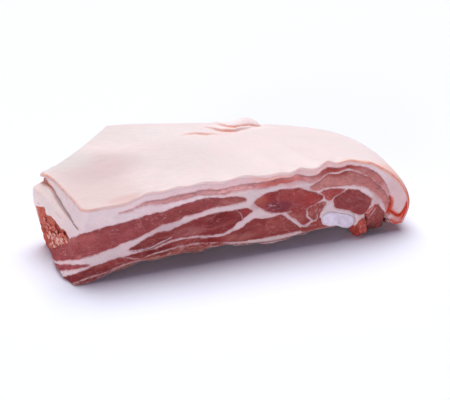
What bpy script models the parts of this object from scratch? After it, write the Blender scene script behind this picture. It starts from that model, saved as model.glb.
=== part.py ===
"""A slab of raw pork belly, lying rind side up on a flat surface.

The slab is one solid. It has a straight cut front face, an end with a long slit
under the rind, a corner trimmed off at the back, an arched underside and a
thinner end that curls down to the table. The pale rib cartilage that shows in
the cut face is a solid of its own, seated in a pocket of the slab.

Sizes are in millimetres and are scaled to metres when the meshes are placed.
The shape is worked out in three slab coordinates:
  station  counts along the slab, from 0 left of the squared end to 12 at the curl
  depth    runs back from the cut front face
  layer    is 0 on the rind and 1 on the underside
"""

import math

import bmesh
import bpy
from mathutils import Vector

MM = 0.001

# Outlines (x, z) of the slab, one point for each station, at the cut front face
# and at the back edge.
RIND_FRONT = [
    (-14, 55), (12, 56), (45, 58), (80, 61.5), (120, 63), (160, 62), (194, 64),
    (222, 61.5), (242, 53.5), (257, 41.5), (266, 27), (267, 17), (262, 5.5),
]
UNDERSIDE_FRONT = [
    (-14, -1), (12, 1), (42, 9.5), (76, 11), (114, 11.5), (150, 8.3), (186, 11.5),
    (204, 11.5), (214, 10), (221, 9), (227, 8), (229.5, 7), (231.5, 5.5),
]
RIND_BACK = [
    (-14, 58), (12, 59.5), (45, 61), (80, 61), (122, 58.5), (160, 55), (192, 50),
    (222, 46), (248, 40.5), (272, 33), (292, 23.5), (301, 13), (298, 3),
]
UNDERSIDE_BACK = [
    (-14, -2), (12, -0.5), (45, 4), (80, 8), (120, 9), (160, 8), (190, 6),
    (213, 3.5), (231, 1.5), (245, 0.5), (255, 0), (261, 0), (266, 0),
]
LAST_STATION = len(RIND_FRONT) - 1
BACK_OUTLINE_DEPTH = 150

# Plan of the slab: the front face is at depth 0.
DEPTH_AT_TRIM = 157
DEPTH_AT_MIDDLE = 150
DEPTH_AT_CURL = 124
TRIM_START_DEPTH = 77
TRIM_SLOPE = 0.9
TRIM_BOW = 4.5

# The rind's edge at the squared end slants in from the front corner and flares at the far one.
EDGE_FRONT_X = 9
EDGE_SLANT = 0.07
EDGE_LAST_DEPTH = 82
EDGE_FLARE = 3.6
EDGE_FLARE_START_DEPTH = 58
# Above its slit the squared end is the thin edge of a flap. Below it the end bulges and
# then leans out to its foot.
FLAP_LEAN = 1.5
FLAP_TIP = 2.5
END_FOOT_X = -1.5
END_FAT_BULGE = 7.5
END_MEAT_BULGE = 5
END_MEAT_LAYER = 0.88
END_EDGE_ROUND_FAT = 2
END_EDGE_ROUND_MEAT = 7
END_EDGE_ROUND_FOOT = 3
BOTTOM_EDGE_ROUND = 1.2
CURL_SETTLE = 5.5
CURL_SETTLE_DEPTH = 24
CURL_NOTCH = 5
CURL_SWELL = 7

# Wrinkles that the rind is pushed up into near the back edge:
# (depth of the ridge, half its width, height, first x, last x, slant).
RIND_FOLDS = [
    (116, 5, 3.0, 122, 188, -0.02),
    (132, 7, 9.5, 146, 201, -0.10),
]
FOLD_RUN_OUT = 12
FLAP_RUN_OUT = 4
# Soft ridges of the rind that run back from the cut face.
RIND_RIDGES_X = (160, 184, 209)
RIDGE_HALF_WIDTH = 8
RIDGE_HEIGHT = 1.2
RIDGE_END_DEPTH = 95

# Slit in the squared end, between the rind's fat and the inner fat.
SLIT_FRONT_HEIGHT = 38.6
SLIT_RISE = 14.5
SLIT_RISE_START_DEPTH = 8
SLIT_RISE_END_DEPTH = 85
SLIT_START_DEPTH = 6
SLIT_END_DEPTH = 86
SLIT_REACH_FRONT = 8
SLIT_REACH_BACK = 22
SLIT_GAP = 1.7
SLIT_TIP = 0.3
SLIT_MOUTH_X = -12
# Grid layer that follows the slit near the squared end.
SLIT_LAYER = 0.16

# Ragged tag of meat beside the cartilage, which touches the table.
TAG_CENTRE = (224.3, 6, 8.8)
TAG_RADII = (7.0, 10, 9.6)
TAG_UNEVENNESS = 0.06

# Rib cartilage in the cut face.
CARTILAGE_CENTRE = (205, 17.1)
CARTILAGE_HALF_LENGTH = 14.7
CARTILAGE_HALF_HEIGHT = 5.9
CARTILAGE_TILT = math.radians(-13)
CARTILAGE_DEPTH = 58
CARTILAGE_WAIST = 0.16
PIECE_GAP = 0.3

# Grid lines of the slab mesh.
END_COLUMNS = (0.04, 0.10, 0.18, 0.28, 0.40)
COLUMN_STEP = 0.25
ROWS = (
    0.015, 0.05, 0.11, 0.19, 0.28, 0.36, 0.43, 0.49, 0.55, 0.61, 0.66, 0.70,
    0.735, 0.77, 0.805, 0.84, 0.87, 0.90, 0.935, 0.97,
)
LAYERS = (0.05, 0.11, 0.16, 0.21, 0.30, 0.41, 0.53, 0.65, 0.77, 0.88, 0.96)


def clear_scene():
    """Remove every object, so that the script can be run again."""
    for item in list(bpy.data.objects):
        bpy.data.objects.remove(item, do_unlink=True)


def mix(a, b, share):
    return a + (b - a) * share


def ease(start, end, value):
    """Rise smoothly from 0 at start to 1 at end."""
    share = min(max((value - start) / (end - start), 0), 1)
    return share * share * (3 - 2 * share)


def along(points, station):
    """Point of the smooth curve that passes each of the points at its own index."""
    first = min(max(int(math.floor(station)), 0), len(points) - 2)
    share = station - first
    here, following = Vector(points[first]), Vector(points[first + 1])
    before = Vector(points[first - 1]) if first > 0 else 2 * here - following
    after = Vector(points[first + 2]) if first + 2 < len(points) else 2 * following - here
    slope_in = (following - before) / 2
    slope_out = (after - here) / 2
    square, cube = share * share, share ** 3
    return (
        here * (2 * cube - 3 * square + 1) + slope_in * (cube - 2 * square + share)
        + following * (3 * square - 2 * cube) + slope_out * (cube - square)
    )


def section_point(station, depth, layer):
    """Point (x, z) of the slab before its ends, folds and resting spots are shaped."""
    share = depth / BACK_OUTLINE_DEPTH
    rind = mix(along(RIND_FRONT, station), along(RIND_BACK, station), share)
    underside = mix(along(UNDERSIDE_FRONT, station), along(UNDERSIDE_BACK, station), share)
    return mix(rind, underside, layer)


def station_at(x, depth, layer):
    """Station whose section point lies at x, near the squared end."""
    low, high = -1.0, 5.0
    for _ in range(30):
        middle = (low + high) / 2
        if section_point(middle, depth, layer).x < x:
            low = middle
        else:
            high = middle
    return low


def rind_edge_x(depth):
    """X of the rind's edge at the squared end."""
    flare = EDGE_FLARE * ease(EDGE_FLARE_START_DEPTH, EDGE_LAST_DEPTH, depth)
    return EDGE_FRONT_X - EDGE_SLANT * min(depth, EDGE_LAST_DEPTH) - flare


def slit_height(depth):
    return SLIT_FRONT_HEIGHT + SLIT_RISE * ease(SLIT_RISE_START_DEPTH, SLIT_RISE_END_DEPTH, depth)


def slit_layer(depth):
    """Layer that the slit lies in, at the squared end."""
    rind_height = section_point(1, depth, 0).y
    foot_height = section_point(1, depth, 1).y
    return (rind_height - slit_height(depth)) / (rind_height - foot_height)


def end_x(depth, layer):
    """X of the squared end and, past its corner, of the trimmed corner."""
    past = max(depth - TRIM_START_DEPTH, 0)
    rind_edge = rind_edge_x(depth)
    slit = slit_layer(depth)
    above = min(layer / slit, 1)
    below = max((layer - slit) / (1 - slit), 0)
    flap = rind_edge - FLAP_LEAN * above
    flap -= FLAP_TIP * math.exp(-((depth - TRIM_START_DEPTH) / 5) ** 2) * math.sin(math.pi * above)
    bulge = END_FAT_BULGE * math.sin(math.pi * below ** 0.42) * ease(0, TRIM_START_DEPTH, depth)
    meat = END_MEAT_BULGE * math.exp(-((layer - END_MEAT_LAYER) / 0.13) ** 2)
    meat *= ease(0, 15, depth) * (1 - ease(25, 70, depth))
    squared = mix(flap, END_FOOT_X, below) - bulge - meat
    trimmed = TRIM_SLOPE * past
    trimmed += TRIM_BOW * math.sin(math.pi * min(past / (DEPTH_AT_TRIM - TRIM_START_DEPTH), 1))
    return mix(squared, rind_edge, ease(0, 20, past)) + trimmed


def back_depth(station):
    """Depth of the back edge at a station."""
    if station < 5:
        return mix(DEPTH_AT_TRIM, DEPTH_AT_MIDDLE, ease(3, 5, station))
    return mix(DEPTH_AT_MIDDLE, DEPTH_AT_CURL, ease(9, LAST_STATION, station))


def front_depth(distance, layer):
    """How far the front face sits back near its rounded vertical end edge."""
    radius = mix(END_EDGE_ROUND_FAT, END_EDGE_ROUND_MEAT, ease(0.25, 0.5, layer))
    radius = mix(radius, END_EDGE_ROUND_FOOT, ease(0.6, 1, layer))
    inside = min(distance / radius, 1)
    setback = radius * (1 - math.sqrt(1 - (1 - inside) ** 2))
    return setback + BOTTOM_EDGE_ROUND * ease(0.9, 1, layer) ** 2


def fold_height(x, depth):
    """Height of the rind's ridges and wrinkles above the smooth rind."""
    fade = 1 - ease(0.4 * RIDGE_END_DEPTH, RIDGE_END_DEPTH, depth)
    height = sum(RIDGE_HEIGHT * fade * math.exp(-((x - ridge) / RIDGE_HALF_WIDTH) ** 2)
                 for ridge in RIND_RIDGES_X)
    for centre, half_width, rise, first, last, slant in RIND_FOLDS:
        across = (depth - centre - slant * (x - first)) / half_width
        run = ease(first, first + FOLD_RUN_OUT, x) * (1 - ease(last - FLAP_RUN_OUT, last, x))
        height += rise * run * math.exp(-across * across)
    return height


def bent_layer(column, depth, layer):
    """Layer of a grid point, with the grid bent to follow the slit near the squared end."""
    inside = section_point(mix(1, LAST_STATION, column), depth, layer).x - end_x(depth, layer)
    pull = (1 - ease(8, 40, inside)) * (1 - ease(88, 112, depth))
    target = mix(SLIT_LAYER, slit_layer(depth), pull)
    if layer < SLIT_LAYER:
        return layer * target / SLIT_LAYER
    return 1 - (1 - layer) * (1 - target) / (1 - SLIT_LAYER)


def slab_point(column, row, layer):
    """Place one point of the unit box on the slab. The slab's ends set its columns."""
    depth_guess = row * back_depth(column * LAST_STATION)
    layer = bent_layer(column, depth_guess, layer)
    first_station = station_at(end_x(depth_guess, layer), depth_guess, layer)
    station = mix(first_station, LAST_STATION, column)
    back = back_depth(station)
    depth = row * back
    first_station = station_at(end_x(depth, layer), depth, layer)
    station = mix(first_station, LAST_STATION, column)
    point = section_point(station, depth, layer)
    distance = section_point(station, 0, layer).x - end_x(0, layer)
    depth += front_depth(max(distance, 0), layer) * (1 - row)
    height = point.y + fold_height(point.x, depth) * (1 - ease(0, 0.5, layer))
    near_curl = ease(8.5, 11.5, station)
    swell = CURL_SWELL * ease(7, 9.5, station) * (1 - ease(10, 12, station)) * (1 - layer)
    swell *= math.sin(math.pi * min(depth / back, 1)) ** 0.6
    point.x += 0.6 * swell
    height += 0.8 * swell
    height -= CURL_SETTLE * near_curl * ease(0, CURL_SETTLE_DEPTH, depth)
    at_end = ease(LAST_STATION - 0.8, LAST_STATION, station)
    height += CURL_NOTCH * at_end * math.exp(-((layer - 0.45) / 0.12) ** 2)
    return Vector((point.x, depth, max(height, 0)))


def new_object(name, mesh, collection=None):
    item = bpy.data.objects.new(name, mesh)
    (collection or bpy.context.scene.collection).objects.link(item)
    return item


def mesh_from(name, builder):
    """Mesh data from a bmesh, which is freed."""
    builder.normal_update()
    bmesh.ops.recalc_face_normals(builder, faces=builder.faces)
    mesh = bpy.data.meshes.new(name)
    builder.to_mesh(mesh)
    builder.free()
    return mesh


def divided_box(columns, rows, layers):
    """Closed unit box from (0, 0, 0) to (1, 1, 1), cut at the given shares of each side."""
    builder = bmesh.new()
    bmesh.ops.create_cube(builder, size=1)
    bmesh.ops.translate(builder, verts=builder.verts, vec=(0.5, 0.5, 0.5))
    for axis, cuts in enumerate((columns, rows, layers)):
        normal = Vector((0, 0, 0))
        normal[axis] = 1
        for cut in cuts:
            everything = builder.verts[:] + builder.edges[:] + builder.faces[:]
            bmesh.ops.bisect_plane(builder, geom=everything, plane_co=normal * cut, plane_no=normal)
    return builder


def slab_columns():
    """Shares along the slab, close together near the squared end."""
    cuts = [place / LAST_STATION for place in END_COLUMNS]
    place = END_COLUMNS[-1] + COLUMN_STEP
    while place < LAST_STATION - COLUMN_STEP / 2:
        cuts.append(place / LAST_STATION)
        place += COLUMN_STEP
    return cuts


def slit_point(column, row, layer):
    """Place one point of the unit box on the wedge that opens the slit."""
    depth = mix(SLIT_START_DEPTH, SLIT_END_DEPTH, row)
    openness = ease(0, 0.9, row) * (1 - 0.8 * ease(0.88, 1, row))
    tip = rind_edge_x(depth) + mix(SLIT_REACH_FRONT, SLIT_REACH_BACK, row)
    half = mix(SLIT_GAP, SLIT_TIP, column) * mix(0.15, 1, openness)
    x = mix(SLIT_MOUTH_X, tip, column)
    return Vector((x, depth, slit_height(depth) + half * (layer - 0.5) * 2))


def cartilage_point(along_bar, across, up, growth, front):
    """Place one point of a unit rod: its axis runs into the slab and it tapers to the back."""
    taper = math.sqrt(max(1 - along_bar ** 2.6, 0.02))
    waist = 1 - CARTILAGE_WAIST * math.exp(-((across - 0.1) / 0.3) ** 2)
    side = across * (CARTILAGE_HALF_LENGTH * mix(0.7, 1, taper) + growth)
    rise = up * (CARTILAGE_HALF_HEIGHT * waist * mix(0.25, 1, taper) + growth)
    x = CARTILAGE_CENTRE[0] + side * math.cos(CARTILAGE_TILT) - rise * math.sin(CARTILAGE_TILT)
    z = CARTILAGE_CENTRE[1] + side * math.sin(CARTILAGE_TILT) + rise * math.cos(CARTILAGE_TILT)
    return Vector((x, mix(front, CARTILAGE_DEPTH + growth, along_bar), z))


def cartilage_mesh(name, growth, front):
    """Bean-section rod, from a cylinder cut into rings along its length."""
    builder = bmesh.new()
    bmesh.ops.create_cone(builder, cap_ends=True, segments=28, radius1=1, radius2=1, depth=1)
    for ring in range(1, 10):
        everything = builder.verts[:] + builder.edges[:] + builder.faces[:]
        height = ring / 10 - 0.5
        bmesh.ops.bisect_plane(builder, geom=everything, plane_co=(0, 0, height), plane_no=(0, 0, 1))
    for vertex in builder.verts:
        across, up, height = vertex.co
        squareness = max(abs(across), abs(up)) ** 0.35
        vertex.co = cartilage_point(height + 0.5, across / squareness, up / squareness, growth, front)
    return mesh_from(name, builder)


def apply_boolean(target, cutter, operation):
    """Cut or join with the exact solver and keep the result as the target's mesh."""
    modifier = target.modifiers.new(operation.title(), 'BOOLEAN')
    modifier.operation = operation
    modifier.solver = 'EXACT'
    modifier.object = cutter
    bpy.context.view_layer.update()
    shaped = target.evaluated_get(bpy.context.evaluated_depsgraph_get())
    mesh = bpy.data.meshes.new_from_object(shaped)
    target.modifiers.clear()
    target.data = mesh


def make_slab(cutters):
    """The slab with its tag, its slit and the pocket for the cartilage."""
    builder = divided_box(slab_columns(), ROWS, LAYERS)
    for vertex in builder.verts:
        vertex.co = slab_point(*vertex.co)
    slab = new_object("slab", mesh_from("slab", builder))

    builder = bmesh.new()
    bmesh.ops.create_uvsphere(builder, u_segments=24, v_segments=16, radius=1)
    for vertex in builder.verts:
        wave = math.sin(4 * vertex.co.x + 1) * math.cos(3 * vertex.co.z) + math.sin(5 * vertex.co.z)
        swell = 1 + TAG_UNEVENNESS * wave
        place = [centre + radius * part * swell
                 for centre, radius, part in zip(TAG_CENTRE, TAG_RADII, vertex.co)]
        vertex.co = (place[0], place[1], max(place[2], 0))
    tag = new_object("tag", mesh_from("tag", builder), cutters)
    apply_boolean(slab, tag, 'UNION')

    builder = divided_box((), [step / 12 for step in range(1, 12)], ())
    for vertex in builder.verts:
        vertex.co = slit_point(*vertex.co)
    apply_boolean(slab, new_object("slit", mesh_from("slit", builder), cutters), 'DIFFERENCE')

    pocket = cartilage_mesh("pocket", PIECE_GAP, -10)
    apply_boolean(slab, new_object("pocket", pocket, cutters), 'DIFFERENCE')
    return slab


def finish(item, centre, colour, roughness):
    """Move an object's mesh to the shared origin in metres and give it its material."""
    for vertex in item.data.vertices:
        vertex.co = (vertex.co - centre) * MM
    material = bpy.data.materials.new(item.name)
    material.use_nodes = True
    shader = material.node_tree.nodes["Principled BSDF"]
    shader.inputs["Base Color"].default_value = (*colour, 1)
    shader.inputs["Roughness"].default_value = roughness
    shader.inputs["Metallic"].default_value = 0
    item.data.materials.clear()
    item.data.materials.append(material)


def main():
    clear_scene()
    cutters = bpy.data.collections.new("cutters")
    bpy.context.scene.collection.children.link(cutters)
    slab = make_slab(cutters)
    cartilage = new_object("rib_cartilage", cartilage_mesh("rib_cartilage", 0, 0))
    for cutter in cutters.objects:
        cutter.hide_render = True
        cutter.display_type = 'WIRE'

    corners = [vertex.co for vertex in slab.data.vertices]
    centre = Vector((
        (min(c.x for c in corners) + max(c.x for c in corners)) / 2,
        (min(c.y for c in corners) + max(c.y for c in corners)) / 2,
        0,
    ))
    finish(slab, centre, (0.72, 0.45, 0.42), 0.4)
    finish(cartilage, centre, (0.80, 0.80, 0.86), 0.35)
    print("design origin, mm:", tuple(round(value, 3) for value in centre))


main()
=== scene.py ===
"""Looks of a raw pork belly slab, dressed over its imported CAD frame.

Unless a name ends in _M, lengths are millimetres in the design frame of the slab:
x runs from the squared end to the curled end, y back from the cut face and z up
from the table. The slab's own coordinates are station, from 0 left of the squared
end to 12 at the curl, depth, from the cut face back, and layer, 0 on the rind and
1 on the underside. The outlines repeat those of the CAD source.
"""

import math

import bpy
import numpy as np
from mathutils import Matrix, Vector


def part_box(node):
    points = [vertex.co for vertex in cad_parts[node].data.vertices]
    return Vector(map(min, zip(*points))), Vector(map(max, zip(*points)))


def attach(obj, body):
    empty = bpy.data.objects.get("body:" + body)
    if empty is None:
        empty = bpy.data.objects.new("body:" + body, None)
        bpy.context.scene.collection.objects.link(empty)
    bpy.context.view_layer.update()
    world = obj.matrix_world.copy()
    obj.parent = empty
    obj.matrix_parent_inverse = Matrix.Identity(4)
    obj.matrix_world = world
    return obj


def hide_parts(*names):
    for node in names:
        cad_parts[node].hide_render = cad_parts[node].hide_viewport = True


MM = 0.001

# ------------------------------------------------------------------ slab form
RIND_FRONT = np.array([
    (-14, 55), (12, 56), (45, 58), (80, 61.5), (120, 63), (160, 62), (194, 64),
    (222, 61.5), (242, 53.5), (257, 41.5), (266, 27), (267, 17), (262, 5.5),
])
UNDERSIDE_FRONT = np.array([
    (-14, -1), (12, 1), (42, 9.5), (76, 11), (114, 11.5), (150, 8.3), (186, 11.5),
    (204, 11.5), (214, 10), (221, 9), (227, 8), (229.5, 7), (231.5, 5.5),
])
RIND_BACK = np.array([
    (-14, 58), (12, 59.5), (45, 61), (80, 61), (122, 58.5), (160, 55), (192, 50),
    (222, 46), (248, 40.5), (272, 33), (292, 23.5), (301, 13), (298, 3),
])
UNDERSIDE_BACK = np.array([
    (-14, -2), (12, -0.5), (45, 4), (80, 8), (120, 9), (160, 8), (190, 6),
    (213, 3.5), (231, 1.5), (245, 0.5), (255, 0), (261, 0), (266, 0),
])
LAST_STATION = len(RIND_FRONT) - 1
BACK_OUTLINE_DEPTH = 150

DEPTH_AT_TRIM = 157
DEPTH_AT_MIDDLE = 150
DEPTH_AT_CURL = 124
EDGE_FRONT_X = 9
EDGE_SLANT = 0.07
EDGE_LAST_DEPTH = 82
EDGE_FLARE = 3.6
EDGE_FLARE_START_DEPTH = 58
TRIM_START_DEPTH = 77
TRIM_SLOPE = 0.9
TRIM_BOW = 4.5
END_FOOT_X = -1.5
FLAP_LEAN_FRONT = 4
FLAP_LEAN_BACK = 1.5
FLAP_TIP = 3
FLAP_TIP_DEPTH = 79
END_FAT_BULGE = 7.5
END_MEAT_BULGE = 5
END_MEAT_LAYER = 0.88
END_EDGE_ROUND_FAT = 5
END_EDGE_ROUND_MEAT = 7
END_EDGE_ROUND_FOOT = 3
BOTTOM_EDGE_ROUND = 1.2
CURL_SETTLE = 5.5
CURL_SETTLE_DEPTH = 24
CURL_NOTCH = 5
CURL_SWELL = 9

SLIT_FRONT_HEIGHT = 41.3
SLIT_RISE = 12
SLIT_RISE_DEPTHS = (20, 85)
# Layer of the slit's row of points, away from the squared end.
SLIT_LAYER = 0.15
RIND_LAYER = 0.042

CARTILAGE_X = 205


def mix(a, b, share):
    return a + (b - a) * share


def ease(start, end, value):
    """Rise smoothly from 0 at start to 1 at end."""
    share = np.clip((value - start) / (end - start), 0, 1)
    return share * share * (3 - 2 * share)


def hump(value, centre, width):
    return np.exp(-((value - centre) / width) ** 2)


def curve_point(before, here, following, after, share):
    """Point of the smooth curve from one point to the following one."""
    square, cube = share ** 2, share ** 3
    return (
        here * (2 * cube - 3 * square + 1) + (following - before) / 2 * (cube - 2 * square + share)
        + following * (3 * square - 2 * cube) + (after - here) / 2 * (cube - square)
    )


def with_ends(points):
    """The points with one more, straight on, at each end."""
    return np.vstack([2 * points[0] - points[1], points, 2 * points[-1] - points[-2]])


def along(points, station):
    """Points of the smooth curve that passes each of the points at its own index."""
    first = np.clip(np.floor(station).astype(int), 0, len(points) - 2)
    share = (station - first)[:, None]
    return curve_point(*(with_ends(points)[first + step] for step in range(4)), share)


def section(station, depth, layer):
    """Points (x, z) of the slab before its ends, folds and resting spots are shaped."""
    share = (depth / BACK_OUTLINE_DEPTH)[:, None]
    rind = mix(along(RIND_FRONT, station), along(RIND_BACK, station), share)
    underside = mix(along(UNDERSIDE_FRONT, station), along(UNDERSIDE_BACK, station), share)
    return mix(rind, underside, layer[:, None])


def station_at(x, depth, layer):
    """Stations whose section points lie at x, near the squared end."""
    low = np.full(len(x), -1.0)
    high = np.full(len(x), 5.0)
    for _ in range(18):
        middle = (low + high) / 2
        short = section(middle, depth, layer)[:, 0] < x
        low = np.where(short, middle, low)
        high = np.where(short, high, middle)
    return low


def slit_height(depth):
    return SLIT_FRONT_HEIGHT + SLIT_RISE * ease(*SLIT_RISE_DEPTHS, depth)


def slit_layer(depth):
    """Layer that the slit lies in, at the squared end."""
    edge = np.ones(len(depth))
    top = section(edge, depth, np.zeros(len(depth)))[:, 1]
    foot = section(edge, depth, edge)[:, 1]
    return (top - slit_height(depth)) / (top - foot)


def end_x(depth, layer):
    """X of the squared end and, past its corner, of the trimmed corner."""
    past = np.maximum(depth - TRIM_START_DEPTH, 0)
    flare = EDGE_FLARE * ease(EDGE_FLARE_START_DEPTH, EDGE_LAST_DEPTH, depth)
    rind_edge = EDGE_FRONT_X - EDGE_SLANT * np.minimum(depth, EDGE_LAST_DEPTH) - flare
    slit = slit_layer(depth)
    below = np.clip((layer - slit) / (1 - slit), 0, 1)
    leaning = mix(FLAP_LEAN_FRONT, FLAP_LEAN_BACK, ease(0, 30, depth))
    flap = rind_edge - leaning * np.minimum(layer / slit, 1)
    tip = np.sin(np.pi * np.clip(layer / slit / 0.7, 0, 1)) - ease(0.6, 1, layer / slit) * (below == 0)
    flap = flap - FLAP_TIP * hump(depth, FLAP_TIP_DEPTH, 5) * tip
    bulge = END_FAT_BULGE * np.sin(np.pi * below ** 0.42) * ease(0, TRIM_START_DEPTH, depth)
    bulge = bulge * mix(1, ease(0, 0.1, below), ease(40, TRIM_START_DEPTH, depth))
    meat = END_MEAT_BULGE * hump(layer, END_MEAT_LAYER, 0.13)
    meat = meat * ease(0, 15, depth) * (1 - ease(25, 70, depth))
    squared = mix(flap, END_FOOT_X, below) - bulge - meat
    trim_share = np.minimum(past / (DEPTH_AT_TRIM - TRIM_START_DEPTH), 1)
    trimmed = TRIM_SLOPE * past + TRIM_BOW * np.sin(np.pi * trim_share)
    return mix(squared, rind_edge, ease(0, 20, past)) + trimmed


def back_depth(station):
    left = mix(DEPTH_AT_TRIM, DEPTH_AT_MIDDLE, ease(3, 5, station))
    return np.where(station < 5, left, mix(DEPTH_AT_MIDDLE, DEPTH_AT_CURL, ease(9, LAST_STATION, station)))


def front_setback(distance, layer):
    """How far the front face sits back near its rounded vertical end edge."""
    radius = mix(END_EDGE_ROUND_FAT, END_EDGE_ROUND_MEAT, ease(0.25, 0.5, layer))
    radius = mix(radius, END_EDGE_ROUND_FOOT, ease(0.6, 1, layer))
    share = np.clip(distance / radius, 0, 1)
    return radius * (1 - np.sqrt(1 - (1 - share) ** 2)) + BOTTOM_EDGE_ROUND * ease(0.9, 1, layer) ** 2


# Soft ridges of the rind: (x, half width, height).
RIND_RIDGES = [(160, 8, 1.4), (184, 6, 2.0), (209, 7, 2.2), (232, 7, 1.2)]
RIDGE_END_DEPTH = 95
# Ripples of the rind's front edge: (x, half width, height).
EDGE_RIPPLES = [
    (33, 9, -0.8), (55, 9, 3.0), (76, 11, 2.0), (96, 8, 1.6), (110, 6, -0.6), (127, 9, 1.4),
    (147, 7, -0.3), (163, 6, -1.9), (171, 5, 1.6), (184, 6, -3.6), (194, 5, 2.4), (206, 6, -1.5),
    (218, 6, 0.8),
]
EDGE_RIPPLE_DEPTH = 13
# Wrinkles pushed up near the back edge. Each rises steeply behind its crease and falls away
# again: (x, depth of the crease, height, run up to the crest, painted shade of the crease).
RIND_FOLDS = {
    "front": [
        (118, 115, 0, 3, 0), (127, 115, 1.3, 3, 0.34), (134, 114.5, 2.1, 4, 0.5), (141, 112, 2.2, 4, 0.54),
        (148, 110.5, 1.4, 3, 0.25), (156, 110.5, 0.7, 3, 0.08), (166, 111, 0, 3, 0),
    ],
    "middle": [
        (147, 137, 0, 3, 0), (152, 131, 1.2, 3, 0.35), (156, 124, 2.0, 3, 0.6), (159, 119, 2.3, 3, 0.7),
        (166, 117.5, 2.5, 3, 0.8), (171, 118, 2.5, 3, 0.45), (181, 125, 2.2, 3, 0.2),
        (190, 131, 1.6, 3, 0.15), (197, 131, 0, 3, 0),
    ],
    "flap": [
        (161, 146, 0, 5, 0), (166, 141, 1.8, 6, 0.45), (170, 135, 2.6, 7, 0.75), (176, 132, 3.6, 9, 0.95),
        (186, 135, 5.8, 11, 0.9), (195, 138, 6.4, 11, 0.65), (201, 138, 3.8, 9, 0.5), (204.5, 138, 0, 8, 0),
    ],
}
FOLD_TAIL = 4


def rind_folds(x, depth):
    """Rise of the rind's folds, and the orange painted shade of the creases at their feet."""
    rise = np.zeros(len(x))
    crease_shade = np.zeros(len(x))
    for fold in RIND_FOLDS.values():
        places, creases, heights, runs, crease_shades = zip(*fold)
        behind = depth - np.interp(x, places, creases) - 0.5 * np.sin(x / 2.3)
        run = np.interp(x, places, runs)
        climb = np.clip(behind / run, 0, 1)
        fall = np.exp(-(np.maximum(behind - run, 0) / FOLD_TAIL) ** 2)
        rise = rise + np.interp(x, places, heights) * np.sin(math.pi / 2 * climb) ** 0.75 * fall
        crease_shade = np.maximum(crease_shade, np.interp(x, places, crease_shades) * hump(behind, 0.4, 1.2))
    return rise, crease_shade


def rind_relief(x, depth, fold_share):
    """Rise of the rind above its smooth form."""
    fade = 1 - ease(0.4 * RIDGE_END_DEPTH, RIDGE_END_DEPTH, depth)
    rise = sum(height * fade * hump(x, ridge, width) for ridge, width, height in RIND_RIDGES)
    near_edge = 1 - ease(0, EDGE_RIPPLE_DEPTH, depth)
    rise = rise + sum(height * near_edge * hump(x, place, width) for place, width, height in EDGE_RIPPLES)
    return rise + fold_share * rind_folds(x, depth)[0]


def noise(points, size, seed=0):
    """Smooth random values from -1 to 1 with lumps of the given size."""
    scaled = points / size + 31.7 * (seed + 1)
    cell = np.floor(scaled).astype(np.int64)
    share = scaled - cell
    share = share * share * (3 - 2 * share)
    total = np.zeros(len(points))
    for corner in range(8):
        step = np.array([corner & 1, corner >> 1 & 1, corner >> 2])
        place = cell + step
        value = place[:, 0] * 374761393 + place[:, 1] * 668265263 + place[:, 2] * 974634777
        value = (value ^ (value >> 13)) * 1274126177 & 0xFFFFFFFF
        value = (value ^ (value >> 16)) & 0xFFFF
        weight = np.prod(np.where(step, share, 1 - share), axis=1)
        total += weight * (value / 32767.5 - 1)
    return total


# ------------------------------------------------------- pattern of the cut face
# The points of the outlines, seams and creases were picked on the photo's cut face
# and turned into millimetres with the solved camera.
def srgb(*values):
    """Linear colour from 0 to 255 display values."""
    share = np.array(values) / 255
    return np.where(share < 0.04045, share / 12.92, ((share + 0.055) / 1.055) ** 2.4)


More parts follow.
